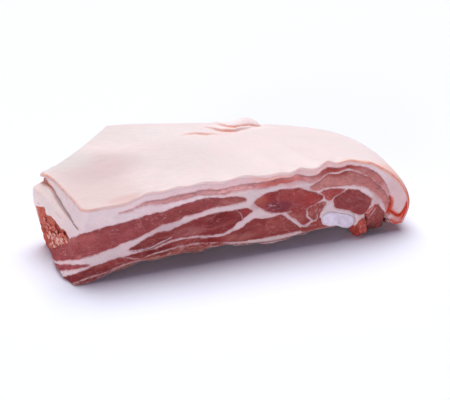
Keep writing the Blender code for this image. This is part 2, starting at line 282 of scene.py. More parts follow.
# Muscles: colour, marbling from 0 to 1, bulge, angle of the grain, outline (x, z).
MUSCLES = {
    "upper_band": (srgb(150, 78, 82), 0.55, 0.5, 5, [
        (-30, 38), (-10, 38), (7, 38.5), (27, 41.5), (47, 43.2), (63, 44.8), (78, 47.5),
        (90, 49.9), (104, 50.4), (120, 48.8), (126, 47), (129.5, 44.3), (124, 43.2),
        (108, 42.9), (98, 41.6), (90, 39.9), (82, 39.2), (75, 36.6), (63, 35.2), (50, 30),
        (30, 25), (8, 20.5), (-10, 20.5), (-30, 20.5)]),
    "left_sliver": (srgb(156, 84, 92), 0.2, 0.3, 0, [
        (-30, 19), (-14, 18.5), (0, 16.5), (11, 13.9), (3, 12.7), (-14, 13.5), (-30, 14)]),
    "lower_sheet": (srgb(142, 66, 66), 0.45, 0.4, 6, [
        (-30, 5), (-14, 6.5), (3, 9.8), (11, 11.9), (19.4, 13.9), (27.5, 15.8), (36, 16.4),
        (44, 17.6), (53, 18), (62, 18.8), (69, 20.7), (75, 21.9), (82, 22.3), (93, 21.4),
        (104, 20.1), (113, 20.1), (120, 22), (126, 24.2), (133, 28), (138, 29.4),
        (145, 27.9), (151, 28.3), (157, 29), (160.5, 27.4), (164.5, 23.7), (168.5, 20.4),
        (172.5, 16.6), (173, 13.6), (166, 13), (156, 12.8), (147, 12.5), (138, 12.3),
        (130, 12.8), (118, 13.3), (105, 15.2), (93, 17.1), (77, 17.3), (68.5, 16.1),
        (57, 14.7), (47.5, 12), (35, 10.1), (23, 7), (11, 4.9), (-5, 2), (-30, 0)]),
    "lower_strip": (srgb(146, 84, 74), 1.0, 0.3, 8, [
        (-30, -2), (-5, 1.4), (11, 4.5), (23, 6.6), (35, 9.7), (47.5, 11.6), (57, 14.2),
        (68.5, 15.6), (77, 16.9), (93, 16.7), (105, 14.8), (116, 12.9), (108, 10.5),
        (60, 4), (30, -8), (-30, -14)]),
    "big_lens": (srgb(132, 56, 58), 0.35, 0.25, 9, [
        (40.5, 21.6), (46.5, 24.6), (54, 28.1), (62.3, 30.2), (70, 30.4), (77, 32.4),
        (86.6, 35.2), (95, 37.2), (104, 38.4), (112, 38.6), (121, 38.5), (130, 38),
        (134.5, 35.6), (129.5, 32), (122.5, 28), (118, 24.5), (112, 21.9), (104, 21.7),
        (91, 22.9), (82, 23.4), (75.5, 23.1), (69, 22), (62, 19.6), (53, 18.2),
        (46, 18.9), (42, 20)]),
    "oval": (srgb(148, 66, 66), 0.4, 0.5, -6, [
        (135.7, 41.6), (140, 45.4), (147, 47.6), (156, 48.5), (164.5, 48.6), (173, 47.1),
        (180.5, 44.2), (187, 41.4), (191.5, 38.3), (190.7, 35.5), (186.4, 33.6),
        (181, 31.9), (178.8, 29), (177.9, 25), (179.8, 22), (181.6, 20), (178.5, 17.8),
        (175.5, 17.6), (172.8, 20), (168.5, 23.8), (165, 26.8), (162, 29.8), (156, 30.9),
        (151.8, 31), (146.4, 33.2), (141.9, 36.2), (137.7, 39.4)]),
    "mottled_right": (srgb(152, 80, 76), 0.95, 0.3, 50, [
        (180.3, 31.2), (186, 33), (191.5, 34.4), (194.6, 32.8), (192.3, 28.2), (190, 24.6),
        (189, 21.2), (187.4, 20), (184, 19.6), (181.6, 21.8), (179, 24.8), (179.4, 27),
        (178.8, 29)]),
    "under_cartilage": (srgb(150, 74, 68), 0.7, 0.35, 0, [
        (180, 16.9), (183.5, 18.4), (187, 19.8), (190, 21.2), (191.4, 17.8), (194, 14.6),
        (199, 12.8), (206, 12.6), (203, 10.5), (192, 8), (182, 9.6), (176, 11.6),
        (173.5, 13.4), (173.5, 15.4), (176, 16.3)]),
    "curl_band": (srgb(184, 134, 132), 0.45, 0.5, -10, [
        (181, 48.2), (186.6, 50.8), (193.9, 53.3), (200.3, 54.7), (211.5, 55), (217, 54.1),
        (223, 51.4), (229, 47.8), (236, 42.8), (242, 37.4), (246.5, 32), (248.6, 26.7),
        (249.2, 20), (247, 14.5), (246.2, 19), (243, 26.8), (237, 33), (229.6, 39),
        (222, 42.1), (216, 43.4), (210, 43.8), (203, 44.2), (194, 44.4), (186, 43.6),
        (182.4, 45.6)]),
    "small_red": (srgb(162, 78, 78), 0.45, 0.2, 10, [
        (188.6, 41.4), (194.3, 42.8), (201, 43), (207.4, 41.9), (210.4, 40.4), (206.6, 38.5),
        (201.1, 36.6), (199.8, 34.8), (196.6, 34.3), (193.4, 36), (192.3, 38.6)]),
    "eye": (srgb(140, 68, 70), 0.3, 0.3, -25, [
        (200.3, 33.2), (201.1, 35.7), (207.6, 38.3), (212.2, 40.2), (219.8, 39.6),
        (224.7, 36.7), (229.7, 33.2), (233.4, 29.9), (233, 26.3), (231.3, 23.3),
        (229.5, 20.2), (224.8, 18.3), (218.9, 20.4), (213.1, 23.5), (207.3, 25.6),
        (201.8, 27.8)]),
    "inner_curl": (srgb(146, 76, 74), 0.35, 0.5, 70, [
        (229.4, 6), (229.3, 12), (230, 16), (234.4, 19.4), (238.4, 24.2), (240.6, 23),
        (243.4, 19.6), (246, 15.9), (246.5, 12), (246, 2), (238, -3), (229, -2)]),
    "red_spot": (srgb(178, 58, 50), 0.6, 0.2, 50, [
        (228.7, 16.6), (230.4, 19.6), (234.2, 23), (236.7, 24.6), (238, 23), (234.6, 19.4),
        (230.7, 15.6)]),
    "skin_muscle": (srgb(206, 170, 174), 0.15, 0.3, 3, [
        (34, 50.2), (48, 51.6), (62, 53.4), (78, 55), (95, 56.2), (112, 56.4),
        (130, 56), (147, 56.9), (164, 57.8), (173, 57), (182, 56.6), (191, 58.4),
        (200, 59.4), (209.5, 58.8), (219, 57.9), (226.5, 55.5), (234.5, 51.2),
        (241.5, 45.7), (246, 39), (249.2, 30.5), (246.9, 32.4), (242.5, 37.4),
        (236.5, 42.8), (229.4, 48), (223.4, 51.7), (217.4, 54.8), (211.5, 56), (200.3, 55.8),
        (192, 53.4), (182, 51.4), (174, 52.7), (164, 53.2), (155, 53), (147, 52.1),
        (138, 51.6), (129, 52), (112, 52.2), (94, 52.9), (78, 51.3), (69, 50.8),
        (57, 50.4), (46, 50.2)]),
}

# Thin white membranes and fat seams: points (x, z, half width).
SEAMS = [
    [(12, 13.9, 0.2), (22, 15.6, 0.35), (31, 16.2, 0.2)],
    [(34, 16.3, 0.2), (39.6, 14.9, 0.35), (43, 13.6, 0.35), (47, 13.2, 0.1)],
    [(-10, 1.2, 0.2), (11, 4.7, 0.25), (23, 6.8, 0.2), (35.4, 9.9, 0.3), (47.7, 11.8, 0.2),
     (57, 14.4, 0.35), (68.5, 15.8, 0.3), (77, 17.1, 0.2), (93, 17, 0.12)],
    [(38, 20.9, 0.5), (44, 19.9, 0.6), (50.4, 19.5, 0.65), (57, 20.5, 0.65), (64.6, 22.8, 0.55),
     (72, 25.3, 0.3)],
    [(60, 18.9, 0.2), (68.7, 21.4, 0.35), (75.4, 22.5, 0.35), (81.3, 22.8, 0.35), (93.2, 22.1, 0.35),
     (103.5, 20.9, 0.5), (112.2, 21, 0.6), (118.3, 23.2, 0.7)],
    [(121, 38.6, 0.1), (124, 36.4, 0.1), (125.8, 33.5, 0.2), (126.5, 30.4, 0.3)],
    [(151.8, 30.2, 0.35), (156.3, 30.2, 0.35), (160, 30.1, 0.35), (166, 30.4, 0.15)],
    [(158.5, 29.8, 0.4), (162.7, 26.9, 0.5), (166.4, 24.3, 0.5), (170.2, 21.3, 0.5), (173, 18.4, 0.55),
     (175.8, 16.5, 0.7), (178.8, 16.4, 0.7), (181.5, 17.6, 0.2)],
    [(179.1, 31.1, 0.3), (178.3, 29, 0.5), (178.8, 26.7, 0.55), (178.4, 25, 0.5), (180.7, 22.7, 0.5),
     (183.1, 21, 0.5), (184.3, 19.7, 0.5), (186.8, 20.6, 0.5), (187.2, 22.6, 0.45), (186.6, 25.2, 0.2)],
    [(185, 33, 0.1), (190, 35, 0.35), (192.4, 37.6, 0.4), (190.5, 39.8, 0.35), (188, 41.4, 0.3)],
    [(188, 51.8, 0.3), (193.9, 53.8, 0.4), (200.3, 55.3, 0.5), (206.8, 55.6, 0.55), (211.5, 55.6, 0.5),
     (217.1, 54.5, 0.4), (223, 51.4, 0.15)],
    [(228.9, 17.6, 0.3), (232, 20, 0.4), (235.6, 23.6, 0.3)],
    [(231, 14.6, 0.3), (234.4, 18.4, 0.35), (237.6, 22.6, 0.2)],
    [(207, 25.2, 0.6), (213, 22.7, 0.7), (219, 19.4, 0.7), (225, 17, 0.6), (228.5, 15.4, 0.3)],
    [(192, 27.6, 0.7), (195, 30.8, 0.9), (198, 33, 0.8)],
    [(199.9, 31.4, 0.6), (201, 28, 0.8), (204.4, 25.4, 0.8)],
    [(146, 39.5, 0.05), (149.5, 37.4, 0.3), (153, 37, 0.05)],
]

# Deep creases of the cut face: points (x, z, half width), depth.
CREASES = [
    ([(249.8, 30, 0.2), (251, 26.3, 0.4), (250.8, 23.6, 0.6), (250, 20.5, 0.8), (249.2, 17.5, 1.0),
      (247.6, 14.2, 1.2), (246.2, 9, 1.3), (246, 3, 1.4)], 4.0),
    ([(250.1, 18.1, 0.4), (253.2, 15.8, 0.5), (256.3, 13.6, 0.5), (260.3, 13.4, 0.5), (264, 17.6, 0.4),
      (265.8, 22.2, 0.2)], 1.3),
    ([(229.2, 18, 0.3), (229.4, 13, 0.6), (228.8, 8, 0.8), (229, 3, 0.8)], 2.5),
    ([(219.5, 19.2, 0.3), (220.8, 15, 0.5), (218, 9.5, 0.5)], 1.5),
]

# Where blood and wet orange tissue colour the cut face: points (x, z), reach, strength.
BLOODY = [
    ([(250.4, 27), (251, 24), (250.4, 20), (249.2, 16)], 3.4, 1.0),
    ([(250.4, 17.5), (254, 14.8), (257, 12.8), (260.4, 12.6), (264, 17.2), (265.8, 22)], 3.0, 1.0),
    ([(267.5, 27), (266.2, 21), (264.6, 16), (262, 10)], 4.2, 1.0),
    ([(246, 11.5), (251, 8), (257, 6), (262, 6.5)], 2.6, 0.8),
    ([(243, 53.5), (254, 44.5), (262.5, 33), (266, 25)], 0.9, 0.5),
    ([(230, 20), (233, 22)], 1.8, 0.4),
]

# Local colours laid over the muscles and the fat:
# (x, z, half length, half height, colour, strength).
LEAN_TINTS = [
    (154, 36, 14, 5, srgb(122, 58, 72), 0.95),
    (141, 43.5, 6, 4, srgb(172, 104, 90), 0.8),
    (152, 47.5, 10, 1.4, srgb(160, 92, 80), 0.5),
    (171, 24, 6, 5, srgb(158, 96, 92), 0.8),
    (118, 54, 20, 3.6, srgb(218, 180, 182), 0.95),
    (80, 53, 16, 3, srgb(198, 158, 160), 0.8),
    (46, 51, 16, 3, srgb(218, 186, 188), 0.8),
    # Painted shade: near black where the foot of the curl's inner muscle meets the table, over its own dark
    # red.
    (240, 6, 12, 4.8, srgb(52, 2, 2), 1.0),
    (8, 35, 12, 3, srgb(188, 112, 110), 0.7),
    (182, 38, 8, 6, srgb(170, 72, 70), 0.6),
    (156, 54.5, 20, 2.6, srgb(192, 112, 104), 0.95),
    (205, 57, 24, 5, srgb(160, 76, 70), 1.0),
    (236, 48, 16, 9, srgb(184, 124, 122), 0.9),
    (118, 46.5, 12, 4, srgb(162, 104, 102), 0.75),
    (84, 42, 22, 4, srgb(134, 66, 62), 0.7),
    (10, 30, 14, 8, srgb(158, 86, 88), 0.6),
    (0, 6, 26, 6, srgb(118, 48, 54), 0.9),
    (55, 17, 18, 3, srgb(118, 42, 46), 0.8),
    (152, 21, 16, 6, srgb(156, 82, 78), 0.7),
    (125, 17, 12, 3, srgb(170, 112, 106), 0.75),
    (85, 27.5, 12, 4, srgb(166, 108, 110), 0.8),
    (112, 34, 10, 4, srgb(122, 44, 48), 0.8),
    (129, 36, 5, 3, srgb(160, 70, 72), 0.8),
    (48, 23, 12, 3, srgb(120, 50, 48), 0.7),
    (100, 16, 11, 4, srgb(130, 42, 40), 0.8),
    (62, 16.5, 12, 3, srgb(110, 28, 32), 0.8),
    (60, 39, 20, 4, srgb(140, 72, 74), 0.6),
    (84, 15, 9, 3, srgb(146, 84, 80), 0.7),
    (150, 45, 8, 4, srgb(150, 60, 64), 0.7),
    (170, 44, 12, 4, srgb(160, 78, 76), 0.7),
    (232, 47, 14, 8, srgb(176, 122, 122), 0.6),
    (240, 12, 7, 9, srgb(134, 64, 62), 0.7),
    (218, 30, 9, 5, srgb(132, 62, 68), 0.7),
]
FAT_TINTS = [
    (60, 58, 60, 6, srgb(238, 210, 210), 0.9),
    (120, 59, 30, 3.4, srgb(236, 196, 196), 0.8),
    (30, 50, 28, 9, srgb(240, 220, 220), 0.8),
    (152, 60.5, 20, 4, srgb(250, 182, 168), 0.95),
    (84, 50.2, 20, 3, srgb(246, 228, 230), 0.9),
    (120, 51.5, 16, 2, srgb(242, 214, 212), 0.8),
    (190, 60.5, 34, 4, srgb(238, 194, 190), 0.9),
    (166, 51.5, 12, 1.6, srgb(222, 176, 176), 0.9),
    (257, 33, 12, 20, srgb(226, 192, 191), 1.0),
    (70, 30, 18, 6, srgb(208, 176, 182), 0.7),
    (84, 47, 16, 3, srgb(236, 216, 216), 0.8),
    (-10, 46, 16, 9, srgb(234, 212, 208), 0.9),
    (-12, 62, 16, 18, srgb(236, 218, 212), 0.95),
    (150, 10, 40, 3.5, srgb(224, 202, 198), 0.8),
    (256, 8, 8, 5, srgb(220, 146, 138), 0.95),
    (190, 47, 20, 3, srgb(216, 180, 182), 0.7),
    (238, 30, 5, 8, srgb(206, 170, 168), 0.7),
    (136, 38.5, 4, 3, srgb(206, 166, 166), 0.8),
]
FAT = srgb(228, 205, 206)
# Wet tissue in the notch at the far end of the slit.
NOTCH_COLOUR = srgb(222, 108, 62)


def smooth_curve(points, closed, pieces=4):
    """Points along the smooth curve through the given points."""
    points = np.array(points, float)
    around = np.vstack([points[-1], points, points[:2]]) if closed else with_ends(points)
    neighbours = around[:-3], around[1:-2], around[2:-1], around[3:]
    steps = [curve_point(*neighbours, step / pieces) for step in range(pieces)]
    curve = np.stack(steps, 1).reshape(-1, points.shape[1])
    return np.vstack([curve, points[0] if closed else points[-1]])


def segment_distance(places, curve):
    """Distance from each place to the nearest point of a curve, and the segment it is on."""
    start, step = curve[:-1, :2], np.diff(curve[:, :2], axis=0)
    offset = places[:, None] - start[None]
    share = np.clip((offset * step).sum(2) / np.maximum((step ** 2).sum(1), 1e-9), 0, 1)
    gap = np.sqrt(((offset - share[..., None] * step) ** 2).sum(2))
    nearest = gap.argmin(1)
    row = np.arange(len(places))
    return gap[row, nearest], nearest


def near(places, curve, margin):
    """Numbers of the places within a margin of the box round a curve."""
    low, high = curve[:, :2].min(0) - margin, curve[:, :2].max(0) + margin
    return np.flatnonzero(((places > low) & (places < high)).all(1))


def inside(places, curve):
    """Whether each place lies inside a closed curve."""
    x0, z0 = curve[:-1, 0], curve[:-1, 1]
    x1, z1 = curve[1:, 0], curve[1:, 1]
    x, z = places[:, :1], places[:, 1:]
    crosses = (z0 > z) != (z1 > z)
    run = (z - z0) / np.where(z1 == z0, 1e-9, z1 - z0)
    return (crosses & (x < x0 + run * (x1 - x0))).sum(1) % 2 == 1


def line_distance(places, line, reach):
    """Distance beyond a line's own half width, the third value of its points."""
    curve = smooth_curve(line, closed=False)
    distance = np.full(len(places), 50.0)
    picked = near(places, curve, reach)
    if len(picked):
        gap, segment = segment_distance(places[picked], curve)
        width = curve[segment, 2] if curve.shape[1] > 2 else 0
        distance[picked] = gap - width
    return distance


# --------------------------------------------------------------- meshes
def box_grid(columns, rows, layers):
    """Surface of a grid in the unit box: its points, their grid numbers and its quads."""
    sizes = len(columns), len(rows), len(layers)
    grid = np.indices(sizes)
    outer = np.zeros(sizes, bool)
    for axis, size in enumerate(sizes):
        outer |= (grid[axis] == 0) | (grid[axis] == size - 1)
    number = np.zeros(sizes, int)
    number[outer] = np.arange(outer.sum())
    quads = []
    for axis, size in enumerate(sizes):
        for side in (0, size - 1):
            sheet = np.take(number, side, axis=axis)
            quad = np.stack([sheet[:-1, :-1], sheet[1:, :-1], sheet[1:, 1:], sheet[:-1, 1:]], -1)
            quad = quad.reshape(-1, 4)
            quads.append(quad[:, ::-1] if (side == 0) == (axis == 1) else quad)
    steps = grid[:, outer].T
    cuts = columns, rows, layers
    shares = np.stack([np.array(cuts[axis])[steps[:, axis]] for axis in range(3)], 1)
    return shares, steps, np.vstack(quads)


def vertex_normals(points, quads):
    across = np.cross(points[quads[:, 2]] - points[quads[:, 0]], points[quads[:, 3]] - points[quads[:, 1]])
    total = np.zeros_like(points)
    for corner in range(4):
        np.add.at(total, quads[:, corner], across)
    return total / np.maximum(np.linalg.norm(total, axis=1), 1e-9)[:, None]


def new_piece(name, points, faces):
    """A smooth mesh object from points in the design frame."""
    mesh = bpy.data.meshes.new(name)
    mesh.from_pydata(((points - ORIGIN) * MM).tolist(), [], faces)
    mesh.update()
    mesh.shade_smooth()
    piece = bpy.data.objects.new(name, mesh)
    bpy.context.scene.collection.objects.link(piece)
    return piece


def strip_faces(rings, count, first=0):
    """Faces between rows of points that follow each other, from a first point's number."""
    faces = []
    for ring in range(rings - 1):
        for step in range(count - 1):
            here = first + ring * count + step
            faces.append((here, here + 1, here + count + 1, here + count))
    return faces


def tube_faces(rings, count):
    """Faces of a tube of rings, with both of its ends closed."""
    faces = []
    for ring in range(rings - 1):
        here, above = ring * count, (ring + 1) * count
        for step in range(count):
            beyond = (step + 1) % count
            faces.append((here + step, here + beyond, above + beyond, above + step))
    faces.append(tuple(reversed(range(count))))
    faces.append(tuple((rings - 1) * count + step for step in range(count)))
    return faces


def flipped(faces):
    """The same faces seen from their other side."""
    return [(face[0], *reversed(face[1:])) for face in faces]


def add_value(piece, name, values):
    """Store one number, vector or colour for each point of a piece."""
    values = np.asarray(values, np.float32)
    if values.ndim == 1:
        piece.data.attributes.new(name, 'FLOAT', 'POINT').data.foreach_set("value", values)
    else:
        piece.data.attributes.new(name, 'FLOAT_VECTOR', 'POINT').data.foreach_set("vector", values.ravel())


def thin_out(piece, weight, share):
    """Merge faces where the weight is high, and leave them alone where it is 0."""
    group = piece.vertex_groups.new(name="thin")
    for level in np.unique(weight):
        if level > 0:
            group.add(np.flatnonzero(weight == level).tolist(), float(level), 'REPLACE')
    modifier = piece.modifiers.new("Decimate", 'DECIMATE')
    modifier.ratio = share
    modifier.vertex_group = group.name
    shaped = piece.evaluated_get(bpy.context.evaluated_depsgraph_get())
    mesh = bpy.data.meshes.new_from_object(shaped)
    piece.modifiers.clear()
    piece.data = mesh
    piece.vertex_groups.clear()


def place_points(column, row, layer, fold_share=1.0):
    """Place points of the unit box on the slab, and give their stations."""
    depth_guess = row * back_depth(column * LAST_STATION)
    station = mix(station_at(end_x(depth_guess, layer), depth_guess, layer), LAST_STATION, column)
    back = back_depth(station)
    depth = row * back
    station = mix(station_at(end_x(depth, layer), depth, layer), LAST_STATION, column)
    flat = section(station, depth, layer)
    x, z = flat[:, 0], flat[:, 1]
    from_end = section(station, np.zeros(len(x)), layer)[:, 0] - end_x(np.zeros(len(x)), layer)
    depth = depth + front_setback(np.maximum(from_end, 0), layer) * (1 - row)
    z = z + rind_relief(x, depth, fold_share) * (1 - ease(0, 0.5, layer))
    swell = CURL_SWELL * ease(7, 9.5, station) * (1 - ease(10, 12, station)) * (1 - layer)
    swell = swell * np.sin(np.pi * np.minimum(depth / back, 1)) ** 0.6
    x = x + 0.6 * swell
    z = z + 0.8 * swell - CURL_SETTLE * ease(8.5, 11.5, station) * ease(0, CURL_SETTLE_DEPTH, depth)
    z = z + CURL_NOTCH * ease(LAST_STATION - 0.8, LAST_STATION, station) * hump(layer, 0.45, 0.12)
    return np.stack([x, depth, np.maximum(z, 0)], 1), station


def even_columns(step):
    """Shares along the slab that lie evenly along the front edge of the rind."""
    first = station_at(np.array([EDGE_FRONT_X]), np.zeros(1), np.zeros(1))[0]
    stations = np.linspace(first, LAST_STATION, 2000)
    edge = along(RIND_FRONT, stations)
    length = np.concatenate([[0], np.cumsum(np.hypot(*np.diff(edge, axis=0).T))])
    count = int(length[-1] / step)
    spread = np.interp(np.linspace(0, length[-1], count + 1), length, stations)
    return (spread - first) / (LAST_STATION - first)


# --------------------------------------------------- pattern of the meat
def tinted(colours, places, tints):
    """Lay soft elliptical tints over the colours."""
    for x, z, half_length, half_height, colour, strength in tints:
        gap = ((places[:, 0] - x) / half_length) ** 2 + ((places[:, 1] - z) / half_height) ** 2
        colours = mix(colours, colour, (strength * np.exp(-gap ** 2))[:, None])
    return colours


def reddened(colours, share):
    """Take green and blue out of the colours where the share is above 0."""
    return colours * (1 - np.maximum(share, 0)[:, None] * np.array([0, 1, 0.9]))


# Depth over which the bands on the squared end drift down from their height on the cut face.
BAND_REACH = 62
# Height at which the slope of the bands towards the back fades out.
BAND_TOP = 62


def layer_places(points, station, layer):
    """Place (x, z) on the cut face of the layer that comes out at each point."""
    front = section(station, np.zeros(len(layer)), layer)
    x, z = front[:, 0], front[:, 1]
    depth = np.maximum(points[:, 1], 0)
    reach = BAND_REACH * np.tanh(depth / BAND_REACH)
    reach = reach * (1 - ease(20, 62, points[:, 0])) * (1 - ease(80, 140, depth))
    dip = 0.45 + 0.1 * ease(15, 28, z) - 0.25 * ease(42, 54, z)
    slope = 9 * ease(70, 150, depth) * hump(x, 120, 90)
    return np.stack([x - 0.12 * reach, z + dip * reach + 0.25 * slope * (1 - z / BAND_TOP)], 1)


# Torn patch of the squared end: its stepped upper edge and its foot (depth, height).
TORN_EDGE = [
    (20, 22), (21, 28.5), (25, 28.8), (26, 30.8), (32, 30.2), (38, 28.4), (44, 31.6), (50, 33.6),
    (61, 31), (62, 36.5), (72, 33.8), (90, 29),
]
TORN_FOOT = [(20, 24.6), (22.5, 23.2), (30.5, 19), (39.5, 14), (50, 8), (66, 2), (90, 0)]


def torn_share(points, from_end):
    """How much of each point lies in the torn patch of the squared end."""
    depth, height = points[:, 1], points[:, 2]
    wander = 0.6 * noise(points, 3, 3)
    below = np.interp(depth + wander, *zip(*TORN_EDGE)) - height
    above = height - np.interp(depth, *zip(*TORN_FOOT))
    share = ease(-0.5, 0.8, np.minimum(above, below) + wander)
    return share * (1 - ease(78, 92, depth)) * (1 - ease(1, 4, from_end))


def meat_pattern(points, station, layer, from_end):
    """Colours, muscle edges and relief for points of the meat."""
    count = len(points)
    places = layer_places(points, station, layer)
    wander = np.stack([noise(points, 7, 1), noise(points, 7, 2)], 1) * 0.35
    places = places + wander
    lean = np.full(count, -6.0)
    tone = np.tile(srgb(150, 84, 84), (count, 1))
    marble = np.zeros(count)
    bulge = np.zeros(count)
    angle = np.zeros(count)
    for colour, marbling, height, turn, outline in MUSCLES.values():
        curve = smooth_curve(outline, closed=True)
        picked = near(places, curve, 6)
        distance = segment_distance(places[picked], curve)[0]
        signed = np.where(inside(places[picked], curve), distance, -distance)
        better = signed > lean[picked]
        chosen = picked[better]
        lean[chosen] = signed[better]
        tone[chosen] = colour
        marble[chosen] = marbling
        bulge[chosen] = height
        angle[chosen] = math.radians(turn)
    seam = np.full(count, 5.0)
    for line in SEAMS:
        seam = np.minimum(seam, line_distance(places, line, 4))

    blotch = noise(points, 5.5, 4) + 0.6 * noise(points, 2.6, 5)
    tone = tinted(tone, places, LEAN_TINTS) * (1 + 0.16 * blotch)[:, None]
    pink = noise(points, 9, 6) + 0.5 * noise(points, 3.5, 7)
    fat = tinted(np.tile(FAT, (count, 1)), places, FAT_TINTS)
    fat = reddened(fat * (1 + 0.05 * pink)[:, None], 0.05 * pink)

    near_front = 1 - ease(4, 14, points[:, 1])
    blood = np.zeros(count)
    for line, reach, strength in BLOODY:
        distance = line_distance(places, line, reach + 2)
        blood = np.maximum(blood, strength * (1 - ease(0.2, reach, distance)))
    blood = blood * near_front
    lip = np.abs(points[:, 2] - slit_height(points[:, 1]) + 0.8)
    lip = (1 - ease(0.3, 1.9, lip)) * ease(56, 72, points[:, 1]) * (1 - ease(80, 85, points[:, 1]))
    fat = mix(fat, NOTCH_COLOUR, (0.85 * lip * (1 - ease(1, 5, from_end)))[:, None])

    torn = torn_share(points, from_end)
    lumps = noise(points, 2.4, 8) + 0.7 * noise(points, 1.4, 9)
    relief = np.where(lean > 0, bulge * (1 - np.exp(-lean / 2.5)), 0)
    relief = relief - 0.3 * np.exp(-(lean / 0.7) ** 2)
    relief = relief + 0.14 * noise(points, 4, 10) + 0.1 * noise(points, 1.8, 11)
    relief = relief + 0.25 * (1 - ease(-0.3, 0.6, seam))
    for line, deep in CREASES:
        beyond = np.maximum(line_distance(places, line, 6), 0)
        relief = relief - deep * near_front * np.exp(-(beyond / 0.6) ** 2)
    relief = relief + torn * (0.6 * lumps - 0.4)
    relief = relief + 0.4 * noise(points, 7, 12) * (1 - ease(1, 6, from_end))

    turned = np.stack([
        places[:, 0] * np.cos(angle) + places[:, 1] * np.sin(angle),
        places[:, 1] * np.cos(angle) - places[:, 0] * np.sin(angle),
        points[:, 1],
    ], 1)
    return {
        "lean": lean, "tone": tone, "fat_tone": fat, "seam": seam, "blood": blood,
        "torn": torn, "marble": marble, "grain": turned, "end": 1 - ease(1, 6, from_end),
    }, relief


# ---------------------------------------------------------------- pieces
# Slit of the squared end: how far each row of points beside its middle is pushed in, and
# how much of the opening it keeps.
SLIT_PUSH = {-1: 0.55, 0: 1.0, 1: 0.55}
SLIT_SPREAD = {-1: 0.8, 0: 0.0, 1: -0.8}
SLIT_YIELD = 5
SLIT_CLOSING_DEPTH = 84
SLIT_END_DEPTH = 91
# Height of the slit's opening near the front, what it gains in the middle and at its far
# end, and how deep it reaches in at the front and at the back.
SLIT_OPENING = 0.5
SLIT_MIDDLE_GAIN = 0.5
SLIT_FAR_GAIN = 1.6
SLIT_REACH = (5, 15)
# How far the fat under the rind's far tip is drawn in.
FLAP_HOLLOW = 3.5
FLAP_HOLLOW_DEPTH = 86
MEAT_LAYER = 0.02
MEAT_FOLD_SHARE = 0.3
# Width of the mesh's columns, and the share of its faces that thinning out leaves.
MEAT_STEP = 0.62
MEAT_THINNED = 0.33


def make_meat():
    """The meat and fat of the slab, closed under its rind."""
    columns = even_columns(MEAT_STEP)
    depths = np.concatenate([
        np.arange(0, 3, 0.75), np.arange(3, 80, 1.1), np.arange(80, 156, 1.8), [DEPTH_AT_TRIM],
    ])
    upper = np.linspace(0, SLIT_LAYER - 0.004, 12)
    lower = np.linspace(SLIT_LAYER + 0.004, 1, 70)
    middle = SLIT_LAYER + np.array([-0.002, 0, 0.002])
    layers = np.concatenate([upper, middle, lower])
    slit_row = len(upper) + 1
    shares, steps, quads = box_grid(columns, depths / DEPTH_AT_TRIM, layers)
    column, row, layer = shares.T
    layer = mix(MEAT_LAYER, 1, layer)

    depth = row * back_depth(column * LAST_STATION)
    x_here = section(mix(1, LAST_STATION, column), depth, layer)[:, 0]
    wanted = slit_layer(depth)
    pull = (1 - ease(8, 40, x_here - end_x(depth, layer))) * (1 - ease(88, 112, depth))
    split = mix(MEAT_LAYER, 1, SLIT_LAYER)
    target = mix(split, wanted, pull)
    above_slit = MEAT_LAYER + (layer - MEAT_LAYER) * (target - MEAT_LAYER) / (split - MEAT_LAYER)
    below_slit = 1 - (1 - layer) * (1 - target) / (1 - split)
    layer = np.where(layer < split, above_slit, below_slit)

    points, station = place_points(column, row, layer, MEAT_FOLD_SHARE)
    at_end = steps[:, 0] == 0
    depth = points[:, 1]
    opening = SLIT_OPENING + SLIT_MIDDLE_GAIN * ease(10, 50, depth) + SLIT_FAR_GAIN * ease(52, 80, depth)
    opening = opening * (1 - ease(SLIT_CLOSING_DEPTH, SLIT_END_DEPTH, depth))
    reach = mix(*SLIT_REACH, ease(0, 60, depth)) * (1 - ease(82, SLIT_END_DEPTH, depth))
    middle_height = slit_height(depth)
    beside = steps[:, 2] - slit_row
    gap = points[:, 2] - middle_height
    part = at_end & (depth < SLIT_END_DEPTH) & (np.abs(beside) > 1)
    points[part, 2] -= (np.sign(beside) * opening / 2 * np.exp(-np.abs(gap) / SLIT_YIELD))[part]
    above = at_end & (beside < -1)
    points[above, 0] += (FLAP_HOLLOW * hump(depth, FLAP_HOLLOW_DEPTH, 7))[above]
    # Points in and beside the slit take its colour, with its painted shade, by this share.
    hollow = np.zeros(len(points))
    for offset, push in SLIT_PUSH.items():
        chosen = at_end & (beside == offset) & (depth < SLIT_END_DEPTH)
        points[chosen, 2] = (middle_height + SLIT_SPREAD[offset] * opening / 2)[chosen]
        points[chosen, 0] += (push * reach)[chosen]
        hollow[chosen] = push
    hollow[part & (np.abs(beside) == 2)] = 0.4

    from_end = points[:, 0] - end_x(points[:, 1], layer)
    values, relief = meat_pattern(points, station, layer, np.abs(from_end))
    hidden = (steps[:, 2] == 0) & (steps[:, 0] > 0) & (steps[:, 1] > 0)
    relief = np.where(hidden | (hollow > 0.5), 0, relief)
    points = points + vertex_normals(points, quads) * relief[:, None]
    points[:, 2] = np.maximum(points[:, 2], 0)

    meat = new_piece("belly_meat", points, quads.tolist())
    values["hollow"] = hollow
    values["under"] = ease(0.97, 1, layer) * (1 - ease(222, 230, points[:, 0]))
    for name, value in values.items():
        add_value(meat, name, value)
    front = steps[:, 1] < 4
    end = steps[:, 0] < 3
    back = (steps[:, 1] == len(depths) - 1) & ~end
    weight = np.where(front | end, 0.0, np.where(back, 0.6, 1.0))
    thin_out(meat, weight, MEAT_THINNED)
    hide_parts("slab")
    return meat


RIND_COLOUR = srgb(241, 225, 221)
